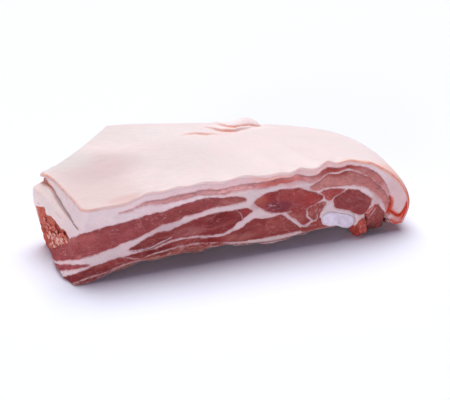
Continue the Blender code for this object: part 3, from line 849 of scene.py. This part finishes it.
# Tints of the rind: (x, depth, half length, half depth, colour, strength).
RIND_TINTS = [
    (100, 60, 44, 44, srgb(229, 216, 213), 0.8),
    # The next three darker tints are painted shade: the light falling off towards the squared end, and the
    # dip of the rind there.
    (20, 20, 40, 45, srgb(224, 203, 198), 0.9),
    (38, 70, 34, 30, srgb(211, 189, 186), 0.8),
    (20, 100, 22, 26, srgb(219, 216, 210), 0.7),
    (60, 135, 40, 25, srgb(230, 219, 214), 0.8),
    (110, 125, 30, 20, srgb(239, 228, 224), 0.8),
    (40, 5, 12, 6, srgb(219, 186, 180), 0.7),
    (230, 0, 22, 5, srgb(244, 190, 166), 0.7),
    (254, 5, 13, 13, srgb(250, 196, 180), 0.85),
    (264, 8, 10, 24, srgb(242, 190, 178), 0.7),
    # Painted light: the flap's wall, which faces away from the key lamp, is made whiter.
    (184, 137, 26, 11, srgb(255, 236, 232), 0.95),
    (270, 1, 7, 8, srgb(206, 84, 56), 0.85),
]
# Hues of the rind's cut edge along its length: (x, colour).
EDGE_HUES = [
    (0, srgb(224, 150, 118)), (30, srgb(238, 194, 186)), (80, srgb(252, 206, 202)),
    (150, srgb(254, 204, 196)), (188, srgb(252, 196, 184)), (206, srgb(240, 154, 134)),
    (228, srgb(246, 148, 126)), (244, srgb(238, 138, 106)),
    (262, srgb(232, 112, 72)), (300, srgb(214, 108, 74)),
]
LOW_RIM_COLOUR = srgb(206, 46, 16)
# How far the rind's cut edge stands out of the fat, and how thick the rind is.
RIND_PROUD = 0.35
RIND_THICKNESS = 1.5
RIND_STEP = 1.05
RIND_THINNED = 0.6


def make_rind():
    """The thin tough rind over the top of the slab, down to the curl's edge."""
    columns = even_columns(RIND_STEP)
    depths = np.concatenate([
        np.arange(0, 6, 0.75), np.arange(6, 106, 1.3), np.arange(106, 150, 0.7), [151, 154, DEPTH_AT_TRIM],
    ])
    layers = np.array([0, 0.5, 1])
    shares, steps, quads = box_grid(columns, depths / DEPTH_AT_TRIM, layers)
    column, row, layer = shares.T
    points = place_points(column, row, layer * RIND_LAYER)[0]
    normals = vertex_normals(points, quads)
    top = steps[:, 2] == 0
    rim = (steps[:, 1] == 0) | (steps[:, 0] == 0) | (steps[:, 0] == len(columns) - 1)
    rim = rim | (steps[:, 1] == len(depths) - 1)

    # Strength of the orange painted shade in each crease; it also sinks the crease a little.
    crease = rind_folds(points[:, 0], points[:, 1])[1]
    fine = 0.22 * noise(points, 9, 20) + 0.12 * noise(points * np.array([1, 0.35, 1]), 2.6, 21)
    lift = np.where(top, fine - 0.4 * crease, 0)
    lift = lift + np.where(rim & ~top, RIND_PROUD * (1 + 0.7 * noise(points, 3, 22)), 0)
    lift = lift + np.where(rim & top, -0.15, 0)
    points = points + normals * lift[:, None]
    above = np.zeros((len(columns), len(depths)), int)
    above[steps[top, 0], steps[top, 1]] = np.flatnonzero(top)
    lower = (steps[:, 2] == 2) & ~rim
    matching = above[steps[lower, 0], steps[lower, 1]]
    points[lower] = points[matching] - RIND_THICKNESS * normals[matching]
    points[:, 2] = np.maximum(points[:, 2], 0)

    plan = np.stack([points[:, 0], points[:, 1]], 1)
    tone = tinted(np.tile(RIND_COLOUR, (len(points), 1)), plan, RIND_TINTS)
    patchy = noise(points, 22, 23) + 0.5 * noise(points, 9, 24)
    tone = reddened(tone * (1 + 0.02 * patchy)[:, None], 0.02 * patchy)
    low_rim = ease(255, 263, points[:, 0]) * (1 - ease(20, 27, points[:, 2]))
    places, hues = zip(*EDGE_HUES)
    hue = np.stack([np.interp(points[:, 0], places, part) for part in zip(*hues)], 1)
    hue = mix(hue, LOW_RIM_COLOUR, low_rim[:, None])
    rind = new_piece("rind", points, quads.tolist())
    near_rim = np.where(rim, 1.0, 0.0)
    for name, value in {
        "tone": tone, "hue": hue, "rim": np.where(top, 0.35 * near_rim, near_rim),
        "crease": crease * top, "under": (steps[:, 2] == 2) * 1.0,
    }.items():
        add_value(rind, name, value)
    weight = np.where((steps[:, 2] == 2) & ~rim, 1.0, 0.0)
    thin_out(rind, weight, RIND_THINNED)
    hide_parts("slab")
    return rind


CARTILAGE_HALF_LENGTH = 14.7
CARTILAGE_HALF_HEIGHT = 6.1
CARTILAGE_TILT = math.radians(-16)
CARTILAGE_DEPTH = 58


def make_cartilage():
    """The pale glossy cut end of a rib cartilage, a rod that runs back into the meat."""
    low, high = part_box("rib_cartilage")
    centre_x, centre_z = (low + high).x / 2 / MM + ORIGIN[0], (low + high).z / 2 / MM
    around = np.linspace(0, 2 * math.pi, 97)[:-1]
    # Rings from the middle of the cut end outwards and then back along the rod.
    rings = [(0, out) for out in (*np.linspace(0.02, 0.9, 16), 0.95, 0.985)]
    rings += [(along_rod, 1) for along_rod in (0.004, *np.linspace(0.02, 0.97, 22))]
    points, values = [], []
    for along_rod, out in rings:
        taper = np.sqrt(max(1 - along_rod ** 2.6, 0.02))
        across, up = np.cos(around) * out, np.sin(around) * out
        square = np.maximum(np.abs(np.cos(around)), np.abs(np.sin(around))) ** 0.35
        across, up = across / square, up / square
        waist = 1 - np.where(up < 0, 0.26, 0.08) * hump(across, 0.02, 0.26)
        lobe = 1 + 0.05 * hump(across, -0.6, 0.4)
        side = across * CARTILAGE_HALF_LENGTH * mix(0.7, 1, taper)
        height = up * CARTILAGE_HALF_HEIGHT * waist * lobe * mix(0.25, 1, taper)
        x = centre_x + side * math.cos(CARTILAGE_TILT) - height * math.sin(CARTILAGE_TILT)
        z = centre_z + side * math.sin(CARTILAGE_TILT) + height * math.cos(CARTILAGE_TILT)
        face = np.full(len(around), float(along_rod == 0))
        radius = np.hypot(across, up)
        fissure = hump(across + 0.08 * up, 0.06, 0.1) * (1 - ease(0.6, 0.9, radius))
        dome = -1.0 * (1 - radius ** 2.5) - 0.4 + 0.5 * fissure * (1 - radius)
        points.append(np.stack([x, along_rod * CARTILAGE_DEPTH + face * dome, z], 1))
        values.append(np.stack([fissure * face, radius], 1))
    faces = flipped(tube_faces(len(rings), len(around)))
    points = np.vstack(points)
    points = points + 0.12 * np.stack([noise(points, 4, 30), noise(points, 4, 31), noise(points, 4, 32)], 1)
    cartilage = new_piece("rib_cartilage_end", points, faces)
    fissure, radius = np.vstack(values).T
    add_value(cartilage, "fissure", fissure)
    add_value(cartilage, "radius", radius)
    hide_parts("rib_cartilage")
    return cartilage


def lump_mesh(centres, radii, seed, parts=9):
    """Points and faces of many small uneven lumps."""
    around = np.linspace(0, 2 * math.pi, parts + 1)[:-1]
    heights = np.linspace(-1, 1, parts // 2 + 2)[1:-1]
    ball = [(0, 0, -1)]
    for height in heights:
        width = math.sqrt(1 - height ** 2)
        ball += [(width * math.cos(turn), width * math.sin(turn), height) for turn in around]
    ball = np.array(ball + [(0, 0, 1)])
    faces = []
    for step in range(parts):
        faces.append((0, 1 + (step + 1) % parts, 1 + step))
        for ring in range(len(heights) - 1):
            here, above = 1 + ring * parts, 1 + (ring + 1) * parts
            beyond = (step + 1) % parts
            faces.append((here + step, here + beyond, above + beyond, above + step))
        top = 1 + (len(heights) - 1) * parts
        faces.append((len(ball) - 1, top + step, top + (step + 1) % parts))
    points, every = [], []
    for number, (centre, radius) in enumerate(zip(centres, radii)):
        lump = ball * radius
        lump = lump * (1 + 0.5 * noise(ball * 3 + 10 * number, 2.2, seed))[:, None]
        every += [tuple(number * len(ball) + corner for corner in face) for face in faces]
        points.append(lump + centre)
    return np.vstack(points), every


TAG_CENTRE = (225, 5.6, 8.7)
TAG_RADII = (5.3, 9.5, 8.4)
TAG_AROUND = 64
TAG_RINGS = 48


def make_tag():
    """The ragged nub of torn meat under the cartilage, which touches the table."""
    turn = np.linspace(0, 2 * math.pi, TAG_AROUND + 1)[:-1]
    points = []
    for height in np.linspace(-1, 1, TAG_RINGS):
        width = math.sqrt(max(1 - abs(height) ** 2.6, 0.0004))
        flat = np.stack([np.cos(turn) * width, np.sin(turn) * width, np.full(TAG_AROUND, height)], 1)
        strands = 0.05 * np.sin(5 * turn + 2.2 * height) + 0.025 * np.sin(11 * turn - 3 * height)
        lumps = 0.2 * noise(flat * 4, 2.2, 40) + 0.07 * noise(flat * 4, 0.8, 41)
        radius = 1 + strands * width + lumps
        narrow = mix(1, 0.86, ease(0.2, 1, height))
        shaped = flat * radius[:, None] * np.array([TAG_RADII[0] * narrow, TAG_RADII[1], TAG_RADII[2]])
        shaped[:, 0] += 1.6 * ease(-0.2, 1, height)
        points.append(shaped + np.array(TAG_CENTRE))
    points = np.vstack(points)
    points[:, 2] = np.maximum(points[:, 2], 0.15)
    tag = new_piece("meat_tag", points, tube_faces(TAG_RINGS, TAG_AROUND))
    add_value(tag, "strand", noise(points * np.array([1, 1, 0.3]), 1.3, 42) + 0.5 * noise(points, 3, 43))
    # Share for the tag's painted shade, which darkens it towards the table.
    add_value(tag, "high", ease(3, 16, points[:, 2]))
    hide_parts("slab")
    return tag


def torn_surface(depth, height):
    """X of the squared end's face at a depth and a height."""
    top = section(np.ones(1), np.array([depth]), np.zeros(1))[0, 1]
    foot = section(np.ones(1), np.array([depth]), np.ones(1))[0, 1]
    layer = np.array([(top - height) / (top - foot)])
    return end_x(np.array([depth]), layer)[0]


# Crumbs of the torn patch: how many, smallest and largest size, and the reach up from its foot.
CRUMBS = {"lean": (80, 0.8, 1.9, 0.8), "pale": (64, 0.8, 1.9, 0.5)}


def make_crumbs():
    """Lumps of torn fat and meat that stand out of the patch on the squared end."""
    random = np.random.default_rng(7)
    centres, radii, pale = [], [], []
    for kind, (count, smallest, largest, reach) in CRUMBS.items():
        for _ in range(count):
            depth = random.uniform(22, 64)
            low = np.interp(depth, *zip(*TORN_FOOT)) + 0.8
            high = np.interp(depth, *zip(*TORN_EDGE)) - 0.8
            height = mix(low, high, random.uniform(0, reach))
            size = random.uniform(smallest, largest)
            centres.append((torn_surface(depth, height) + 0.1 * size, depth, height))
            radii.append((size * 0.35, size * random.uniform(0.9, 1.6), size * random.uniform(0.7, 1.1)))
            pale.append(float(kind == "pale"))
    points, faces = lump_mesh(centres, np.array(radii), 50)
    crumbs = new_piece("torn_crumbs", points, faces)
    add_value(crumbs, "pale", np.repeat(pale, len(points) // len(pale)))
    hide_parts("slab")
    return crumbs


# Thin flaps of membrane that hang from the bottom of the cut face:
# (first x, last x, longest drop).
SHREDS = [(30, 44, 1.0), (52, 70, 1.3), (84, 99, 1.0), (118, 133, 1.5), (140, 166, 1.9), (171, 181, 1.2)]
# Section of a flap: (depth, height as a share of its drop).
SHRED_SECTION = [(1.7, 0.25), (1.0, 0.0), (0.3, -0.55), (0.1, -1.0), (1.5, -0.95), (2.8, -0.5), (4.2, 0.2)]


def make_shreds():
    """Ragged edges of the membrane that lines the underside."""
    points, faces = [], []
    for number, (first, last, drop) in enumerate(SHREDS):
        along_x = np.linspace(first, last, int((last - first) / 0.7))
        share = (along_x - first) / (last - first)
        path = np.stack([along_x, np.zeros_like(along_x), np.zeros_like(along_x)], 1)
        ragged = drop * np.sin(np.pi * share) ** 0.6 * (0.65 + 0.5 * noise(path, 3, 60 + number))
        stations = np.interp(along_x, UNDERSIDE_FRONT[:, 0], np.arange(LAST_STATION + 1))
        edge = along(UNDERSIDE_FRONT, stations)[:, 1]
        start = sum(len(part) for part in points)
        count, rows = len(along_x), len(SHRED_SECTION)
        last = start + (rows - 1) * count
        for depth, height in SHRED_SECTION:
            y = depth + 0.3 * noise(path, 4, 70 + number)
            points.append(np.stack([along_x, y, edge + height * ragged], 1))
        faces += strip_faces(rows, count, start)
        faces += [(last + step, last + step + 1, start + step + 1, start + step) for step in range(count - 1)]
        faces.append(tuple(start + row * count for row in range(rows)))
        faces.append(tuple(start + row * count + count - 1 for row in reversed(range(rows))))
    shreds = new_piece("membrane_shreds", np.vstack(points), faces)
    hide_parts("slab")
    return shreds


# ------------------------------------------------------------- materials
# Factors on the red, green and blue of the muscles' colours.
LEAN_SATURATION = (1.12, 0.88, 0.82)
# Distances behind the origin between which the slit's tissue turns from dark red, painted shade
# inside the slit, to orange red, and from orange red to pale.
SLIT_RED = (-20, -6)
SLIT_PALE = (4, 9)
# Distances right of the origin between which the membrane turns white.
WHITE_MEMBRANE = (-44, -24)
# Distances right of the origin between which the fine wrinkles of the rind fade in.
CREPED_RIND = (10, -70)


class Surface:
    """Adds linked shader nodes to a new material with a Principled shader."""

    def __init__(self, name):
        self.material = bpy.data.materials.new(name)
        self.material.use_nodes = True
        self.tree = self.material.node_tree
        self.shader = self.tree.nodes["Principled BSDF"]

    def put(self, socket, value):
        """Set a socket, or link another node's output to it."""
        if isinstance(value, bpy.types.NodeSocket):
            self.tree.links.new(value, socket)
        elif socket.type == 'RGBA':
            socket.default_value = (*value, 1)
        else:
            socket.default_value = value

    def set(self, **values):
        """Inputs of the Principled shader, with underscores for spaces."""
        for name, value in values.items():
            self.put(self.shader.inputs[name.replace("_", " ")], value)

    def value(self, name):
        node = self.tree.nodes.new("ShaderNodeAttribute")
        node.attribute_name = name
        return node.outputs["Fac"]

    def vector(self, name):
        node = self.tree.nodes.new("ShaderNodeAttribute")
        node.attribute_name = name
        return node.outputs["Vector"]

    def place(self):
        """Position on the object in millimetres."""
        coordinates = self.tree.nodes.new("ShaderNodeTexCoord").outputs["Object"]
        return self.vector_maths('SCALE', coordinates, scale=1 / MM)

    def stretched(self, vector, factors):
        """A vector whose three parts are multiplied by the factors."""
        return self.vector_maths('MULTIPLY', vector, factors)

    def share(self, value, factor):
        """A value multiplied by a factor or by another value."""
        return self.maths('MULTIPLY', value, factor)

    def vector_maths(self, operation, first, second=None, scale=None):
        node = self.tree.nodes.new("ShaderNodeVectorMath")
        node.operation = operation
        self.put(node.inputs[0], first)
        if second is not None:
            self.put(node.inputs[1], second)
        if scale is not None:
            self.put(node.inputs["Scale"], scale)
        return node.outputs[0]

    def axis(self, vector, number):
        """One part of a vector: 0 for x, 1 for y and 2 for z."""
        node = self.tree.nodes.new("ShaderNodeSeparateXYZ")
        self.put(node.inputs[0], vector)
        return node.outputs[number]

    def maths(self, operation, *values):
        node = self.tree.nodes.new("ShaderNodeMath")
        node.operation = operation
        for socket, value in zip(node.inputs, values):
            self.put(socket, value)
        return node.outputs[0]

    def noise(self, place, size, detail=2.0, roughness=0.5):
        """Noise from 0 to 1 with lumps of about the given size."""
        node = self.tree.nodes.new("ShaderNodeTexNoise")
        self.put(node.inputs["Vector"], place)
        self.put(node.inputs["Scale"], 1 / size)
        self.put(node.inputs["Detail"], detail)
        self.put(node.inputs["Roughness"], roughness)
        return node.outputs["Fac"]

    def cells(self, place, size):
        """Distance to the nearest of scattered points, about 0 to 1."""
        node = self.tree.nodes.new("ShaderNodeTexVoronoi")
        self.put(node.inputs["Vector"], place)
        self.put(node.inputs["Scale"], 1 / size)
        return node.outputs["Distance"]

    def ease(self, value, start, end, low=0.0, high=1.0):
        node = self.tree.nodes.new("ShaderNodeMapRange")
        node.interpolation_type = 'SMOOTHSTEP'
        names = ("Value", "From Min", "From Max", "To Min", "To Max")
        for name, part in zip(names, (value, start, end, low, high)):
            self.put(node.inputs[name], part)
        return node.outputs[0]

    def blend(self, share, first, second):
        """Colour between two colours."""
        node = self.tree.nodes.new("ShaderNodeMix")
        node.data_type = 'RGBA'
        self.put(node.inputs[0], share)
        self.put(node.inputs[6], first)
        self.put(node.inputs[7], second)
        return node.outputs[2]

    def patches(self, value, first, second, start=0.35, end=0.65):
        """Colour that turns from the first to the second as the value rises."""
        return self.blend(self.ease(value, start, end), first, second)

    def shade(self, colour, amount):
        """A colour made brighter or darker by a factor."""
        return self.vector_maths('SCALE', colour, scale=amount)

    def bump(self, height, distance_mm, strength=1.0):
        node = self.tree.nodes.new("ShaderNodeBump")
        self.put(node.inputs["Strength"], strength)
        self.put(node.inputs["Distance"], distance_mm * MM)
        self.put(node.inputs["Height"], height)
        self.put(self.shader.inputs["Normal"], node.outputs["Normal"])

    def soft(self, weight, reach_mm, radii):
        """Light that spreads under the surface."""
        self.shader.subsurface_method = 'RANDOM_WALK'
        self.set(Subsurface_Weight=weight, Subsurface_Scale=reach_mm * MM)
        self.shader.inputs["Subsurface Radius"].default_value = radii


def meat_material():
    """Lean muscle, fat, marbling, membranes and blood, steered by the values on the mesh."""
    surface = Surface("raw_meat")
    place = surface.place()
    grain = surface.vector("grain")
    fibres = surface.noise(surface.stretched(grain, (0.3, 1.0, 0.3)), 0.8, 3)
    blotches = surface.noise(surface.stretched(grain, (0.45, 1.0, 0.6)), 4.5, 4, 0.6)
    fine = surface.noise(place, 1.0, 3)
    wobble = surface.noise(place, 4.5, 3)
    broad = surface.noise(place, 13, 2)

    lean = surface.maths('ADD', surface.value("lean"), surface.ease(wobble, 0.3, 0.7, -0.4, 0.4))
    half_edge = surface.ease(broad, 0.38, 0.62, 0.15, 0.9)
    lean_share = surface.ease(lean, surface.share(half_edge, -1.0), half_edge)
    marble_edge = surface.maths('SUBTRACT', 0.72, surface.share(surface.value("marble"), 0.2))
    flecks = surface.noise(surface.stretched(grain, (0.34, 1.0, 0.5)), 1.9, 4, 0.65)
    marbled = surface.ease(surface.maths('SUBTRACT', flecks, marble_edge), 0.0, 0.1)
    specks_and_glints = surface.ease(surface.noise(place, 0.75, 2), 0.66, 0.78)
    winding = surface.noise(surface.stretched(grain, (0.5, 1.0, 0.7)), 5, 3)
    winding = surface.maths('ABSOLUTE', surface.maths('SUBTRACT', winding, 0.5))
    threads = surface.share(surface.ease(winding, 0.03, 0.0), surface.ease(broad, 0.42, 0.6, 0.1, 0.9))
    threads = surface.share(threads, surface.value("marble"))

    muscle = surface.stretched(surface.vector("tone"), LEAN_SATURATION)
    muscle = surface.shade(muscle, surface.ease(fibres, 0.25, 0.75, 0.86, 1.14))
    muscle = surface.blend(surface.ease(blotches, 0.5, 0.7, 0.0, 0.4), muscle, srgb(116, 36, 38))
    muscle = surface.blend(surface.ease(blotches, 0.5, 0.3, 0.0, 0.35), muscle, srgb(182, 104, 98))
    muscle = surface.blend(surface.ease(lean, 1.4, 0.2, 0.0, 0.35), muscle, srgb(176, 92, 84))
    muscle = surface.blend(surface.share(marbled, 0.65), muscle, srgb(208, 162, 160))
    # Pale specks: partly flecks of fat, partly painted glints of the wet surface.
    muscle = surface.blend(surface.share(specks_and_glints, 0.35), muscle, srgb(214, 160, 152))
    muscle = surface.blend(threads, muscle, srgb(200, 140, 134))

    fat = surface.shade(surface.vector("fat_tone"), surface.ease(fine, 0.3, 0.7, 0.96, 1.03))
    veins = surface.ease(surface.noise(surface.stretched(place, (0.22, 0.3, 1.0)), 2.6, 4), 0.58, 0.74)
    fat = surface.blend(surface.share(veins, 0.25), fat, srgb(196, 136, 140))
    fat = surface.blend(surface.ease(lean, -1.6, -0.1, 0.0, 0.45), fat, srgb(204, 142, 146))

    colour = surface.blend(lean_share, fat, muscle)
    patchy = surface.ease(surface.noise(place, 3.6, 2), 0.35, 0.65, -0.1, 0.22)
    seam = surface.ease(surface.maths('ADD', surface.value("seam"), patchy), -0.4, 0.45, 1.0, 0.0)
    colour = surface.blend(surface.share(seam, 0.72), colour, srgb(210, 186, 190))

    ragged = surface.patches(fine, srgb(176, 70, 52), srgb(206, 108, 86))
    # Painted shade: dark red in the pits of the torn patch, over the meat's own red.
    pit_shade = surface.cells(surface.stretched(place, (1.0, 0.7, 1.0)), 3.8)
    ragged = surface.blend(surface.ease(pit_shade, 0.5, 0.75, 0.0, 0.5), ragged, srgb(138, 26, 16))
    colour = surface.blend(surface.share(surface.value("torn"), 0.95), colour, ragged)

    wet_red = surface.patches(fine, srgb(196, 42, 20), srgb(226, 84, 50))
    colour = surface.blend(surface.value("blood"), colour, wet_red)
    lining = surface.patches(surface.noise(place, 16, 3), srgb(206, 162, 160), srgb(164, 92, 84), 0.4)
    colour = surface.blend(surface.share(surface.value("under"), 0.75), colour, lining)
    behind = surface.axis(place, 1)
    # Painted shade: dark red inside the slit, turning to the orange red of its wet far end and then pale.
    inside_slit = surface.patches(behind, srgb(112, 40, 36), srgb(214, 104, 66), *SLIT_RED)
    inside_slit = surface.patches(behind, inside_slit, srgb(238, 210, 202), *SLIT_PALE)
    colour = surface.blend(surface.value("hollow"), colour, inside_slit)

    surface.set(Base_Color=colour, IOR=1.4, Specular_IOR_Level=0.2)
    rough = surface.ease(lean_share, 0.0, 1.0, 0.44, 0.34)
    surface.set(Roughness=surface.ease(surface.value("end"), 0.0, 1.0, rough, 0.8))
    wet = surface.ease(surface.noise(place, 2.2, 2), 0.56, 0.7, 0.0, 0.5)
    wet = surface.share(wet, surface.ease(surface.value("end"), 0.0, 1.0, 1.0, 0.0))
    surface.set(Coat_Weight=wet, Coat_Roughness=0.12)
    surface.soft(0.2, 1.8, (1.0, 0.42, 0.34))
    height = surface.maths('ADD', surface.share(lean_share, 0.5),
                           surface.maths('ADD', surface.share(fibres, lean_share), fine))
    surface.bump(height, 0.6, 0.6)
    return surface.material


def rind_material():
    """Scalded white rind: almost even, with faint pink, scratches, painted shade in the furrows of its fine
    wrinkles and orange painted shade in its creases.
    """
    surface = Surface("pork_rind")
    place = surface.place()
    fine = surface.noise(place, 1.3, 3)
    pores = surface.cells(place, 2.2)
    scratches = surface.noise(surface.stretched(place, (0.12, 1.0, 0.5)), 1.3, 2)
    streaks = surface.ease(scratches, 0.66, 0.74)
    creping = surface.noise(surface.stretched(place, (0.16, 0.8, 0.5)), 1.8, 3)
    left = surface.ease(surface.axis(place, 0), *CREPED_RIND)

    colour = surface.shade(surface.vector("tone"), surface.ease(fine, 0.3, 0.7, 0.985, 1.012))
    # Painted shade: the colour darkens in the furrows of the fine wrinkles, more on the left part.
    furrow_shade = surface.ease(left, 0.0, 1.0, 0.99, 0.955)
    colour = surface.shade(colour, surface.ease(creping, 0.35, 0.65, furrow_shade, 1.0))
    colour = surface.blend(surface.share(streaks, 0.35), colour, srgb(226, 194, 188))
    stained = surface.ease(surface.noise(place, 7, 3), 0.38, 0.62, 0.5, 0.92)
    rim = surface.ease(surface.value("rim"), 0.1, 1.0, 0.0, stained)
    colour = surface.blend(rim, colour, surface.vector("hue"))
    # Orange painted shade in the creases at the feet of the folds.
    colour = surface.blend(surface.value("crease"), colour, srgb(238, 140, 106))
    colour = surface.blend(surface.share(surface.value("under"), 0.9), colour, srgb(222, 196, 198))

    surface.set(Base_Color=colour, Roughness=0.5, IOR=1.4, Specular_IOR_Level=0.22)
    surface.soft(0.25, 2.5, (1.0, 0.55, 0.5))
    height = surface.maths('ADD', surface.share(fine, 0.6), surface.share(pores, 0.5))
    height = surface.maths('ADD', height, surface.share(creping, left))
    surface.bump(height, 0.25, 0.45)
    return surface.material


def cartilage_material():
    surface = Surface("rib_cartilage")
    place = surface.place()
    cloudy = surface.noise(place, 3.4, 3)
    colour = surface.patches(cloudy, srgb(238, 226, 240), srgb(222, 210, 224))
    fissure = surface.ease(surface.value("fissure"), 0.1, 1.0, 0.0, 0.4)
    colour = surface.blend(fissure, colour, srgb(206, 178, 188))
    edge = surface.ease(surface.value("radius"), 0.86, 1.0, 0.0, 0.5)
    colour = surface.blend(edge, colour, srgb(186, 160, 168))
    surface.set(Base_Color=colour, Roughness=0.3, IOR=1.42, Specular_IOR_Level=0.5)
    surface.set(Coat_Weight=0.3, Coat_Roughness=0.12)
    surface.soft(0.3, 2.2, (1.0, 0.8, 0.85))
    surface.bump(surface.noise(place, 1.6, 3), 0.3, 0.4)
    return surface.material


def tag_material():
    surface = Surface("torn_meat")
    place = surface.place()
    fibres = surface.noise(surface.stretched(place, (1.0, 1.0, 0.3)), 1.3, 4)
    # Painted shade: darker towards the table, lighter higher up.
    colour = surface.blend(surface.value("high"), srgb(172, 66, 56), srgb(206, 98, 84))
    colour = surface.shade(colour, surface.ease(fibres, 0.3, 0.7, 0.75, 1.25))
    # Paler orange on the strands: partly the tissue's own colour, partly painted highlight.
    pale = surface.ease(surface.value("strand"), 0.4, 0.8, 0.0, 0.55)
    colour = surface.blend(pale, colour, srgb(224, 132, 108))
    surface.set(Base_Color=colour, Roughness=0.34, IOR=1.4, Coat_Weight=0.25, Coat_Roughness=0.16)
    surface.soft(0.2, 1.6, (1.0, 0.4, 0.32))
    surface.bump(fibres, 0.5, 0.6)
    return surface.material


def crumb_material():
    surface = Surface("torn_fat_and_meat")
    place = surface.place()
    mottle = surface.noise(place, 1.5, 3)
    meat = surface.patches(mottle, srgb(190, 74, 56), srgb(214, 112, 90))
    fat = surface.patches(mottle, srgb(242, 184, 168), srgb(226, 134, 110))
    colour = surface.blend(surface.value("pale"), meat, fat)
    surface.set(Base_Color=colour, Roughness=0.36, IOR=1.4, Coat_Weight=0.2, Coat_Roughness=0.18)
    surface.soft(0.25, 1.6, (1.0, 0.45, 0.36))
    surface.bump(mottle, 0.3, 0.5)
    return surface.material


def membrane_material():
    """Strips of membrane: brown red near the squared end and white towards the cartilage."""
    surface = Surface("membrane")
    place = surface.place()
    patches = surface.noise(place, 3, 3)
    white = surface.patches(patches, srgb(206, 178, 180), srgb(176, 116, 114), 0.38, 0.62)
    brown = surface.patches(patches, srgb(154, 92, 84), srgb(190, 140, 126), 0.38, 0.62)
    colour = surface.blend(surface.ease(surface.axis(place, 0), *WHITE_MEMBRANE), brown, white)
    surface.set(Base_Color=colour, Roughness=0.4, IOR=1.4, Coat_Weight=0.15, Coat_Roughness=0.2)
    surface.soft(0.3, 2.0, (1.0, 0.55, 0.45))
    surface.bump(surface.noise(place, 1.2, 3), 0.3, 0.5)
    return surface.material


def floor_material():
    surface = Surface("white_floor")
    surface.set(Base_Color=srgb(240, 245, 255), Roughness=0.9, Specular_IOR_Level=0.1)
    return surface.material


# ---------------------------------------------------- light and camera
FLOOR_SIZE_M = 6.0
FLOOR_LINES = 9
# How far the floor lies below the slab, so that the two never share a plane.
FLOOR_GAP = 0.1
# Share of the floor's half size where it starts to curve away, and how strongly it does.
FLOOR_BEND_START = 0.9
FLOOR_BEND = 40
CAMERA_AIM = (129.009, 40, 30.059)
CAMERA_RANGE_M = 0.80636
CAMERA_TURN = math.radians(22.304)
CAMERA_DROP = math.radians(22)
CAMERA_LENS = 85
CAMERA_SENSOR = 36

WORLD_STRENGTH = 0.12
WORLD_COLOUR = (0.98, 0.72, 1.22)
# Soft lamps: direction that the light comes from, strength, spread in degrees.
LAMPS = {
    "key": ((0.15, 0.4, 1.0), 3.35, 54),
    "card": ((-0.75, -0.85, 0.0), 2.5, 26),
}


def place_camera():
    turn, drop = CAMERA_TURN, CAMERA_DROP
    ahead = Vector((math.sin(turn) * math.cos(drop), math.cos(turn) * math.cos(drop), -math.sin(drop)))
    right = Vector((math.cos(turn), -math.sin(turn), 0))
    up = right.cross(ahead)
    data = bpy.data.cameras.new("camera")
    data.lens = CAMERA_LENS
    data.sensor_width = CAMERA_SENSOR
    data.clip_start = 0.05
    camera = bpy.data.objects.new("camera", data)
    aim = Vector((np.array(CAMERA_AIM) - ORIGIN) * MM)
    turned = Matrix((right, up, -ahead)).transposed().to_4x4()
    turned.translation = aim - ahead * CAMERA_RANGE_M
    camera.matrix_world = turned
    bpy.context.scene.collection.objects.link(camera)
    bpy.context.scene.camera = camera


def light_scene():
    world = bpy.data.worlds.new("studio")
    world.use_nodes = True
    background = world.node_tree.nodes["Background"]
    background.inputs["Color"].default_value = (*WORLD_COLOUR, 1)
    background.inputs["Strength"].default_value = WORLD_STRENGTH
    bpy.context.scene.world = world
    for name, (direction, strength, spread) in LAMPS.items():
        light = bpy.data.lights.new(name, 'SUN')
        light.energy = strength
        light.angle = math.radians(spread)
        lamp = bpy.data.objects.new(name, light)
        lamp.rotation_euler = Vector(direction).to_track_quat('Z', 'Y').to_euler()
        bpy.context.scene.collection.objects.link(lamp)
    bpy.context.scene.view_settings.view_transform = 'Standard'


def make_floor():
    """Plain white floor with edges that curve away far outside the view."""
    half = FLOOR_SIZE_M / 2 / MM
    cuts = np.linspace(-half, half, FLOOR_LINES)
    x, y = np.meshgrid(cuts, cuts)
    bend = np.maximum(np.hypot(x, y) / half - FLOOR_BEND_START, 0)
    z = -FLOOR_GAP - FLOOR_BEND * bend ** 2
    points = np.stack([x.ravel(), y.ravel(), z.ravel()], 1) + ORIGIN
    return new_piece("floor", points, strip_faces(FLOOR_LINES, FLOOR_LINES))


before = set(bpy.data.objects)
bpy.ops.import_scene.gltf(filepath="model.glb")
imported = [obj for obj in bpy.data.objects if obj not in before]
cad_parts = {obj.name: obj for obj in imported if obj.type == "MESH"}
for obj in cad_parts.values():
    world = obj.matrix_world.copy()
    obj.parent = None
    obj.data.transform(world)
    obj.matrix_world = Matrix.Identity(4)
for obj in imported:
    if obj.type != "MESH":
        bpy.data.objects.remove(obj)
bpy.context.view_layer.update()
slab_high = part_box("slab")[1]
cartilage_low, cartilage_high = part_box("rib_cartilage")
# The frame's origin in the design frame.
ORIGIN = np.array([
    CARTILAGE_X - (cartilage_low.x + cartilage_high.x) / 2 / MM,
    DEPTH_AT_TRIM - slab_high.y / MM,
    0,
])

for piece, material, finish in (
    (make_meat(), meat_material(), "meat"),
    (make_rind(), rind_material(), "meat"),
    (make_tag(), tag_material(), "meat"),
    (make_crumbs(), crumb_material(), "meat"),
    (make_shreds(), membrane_material(), "meat"),
    (make_cartilage(), cartilage_material(), "cartilage"),
):
    piece.data.materials.append(material)
    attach(piece, "root")

floor = make_floor()
floor.data.materials.append(floor_material())
place_camera()
light_scene()
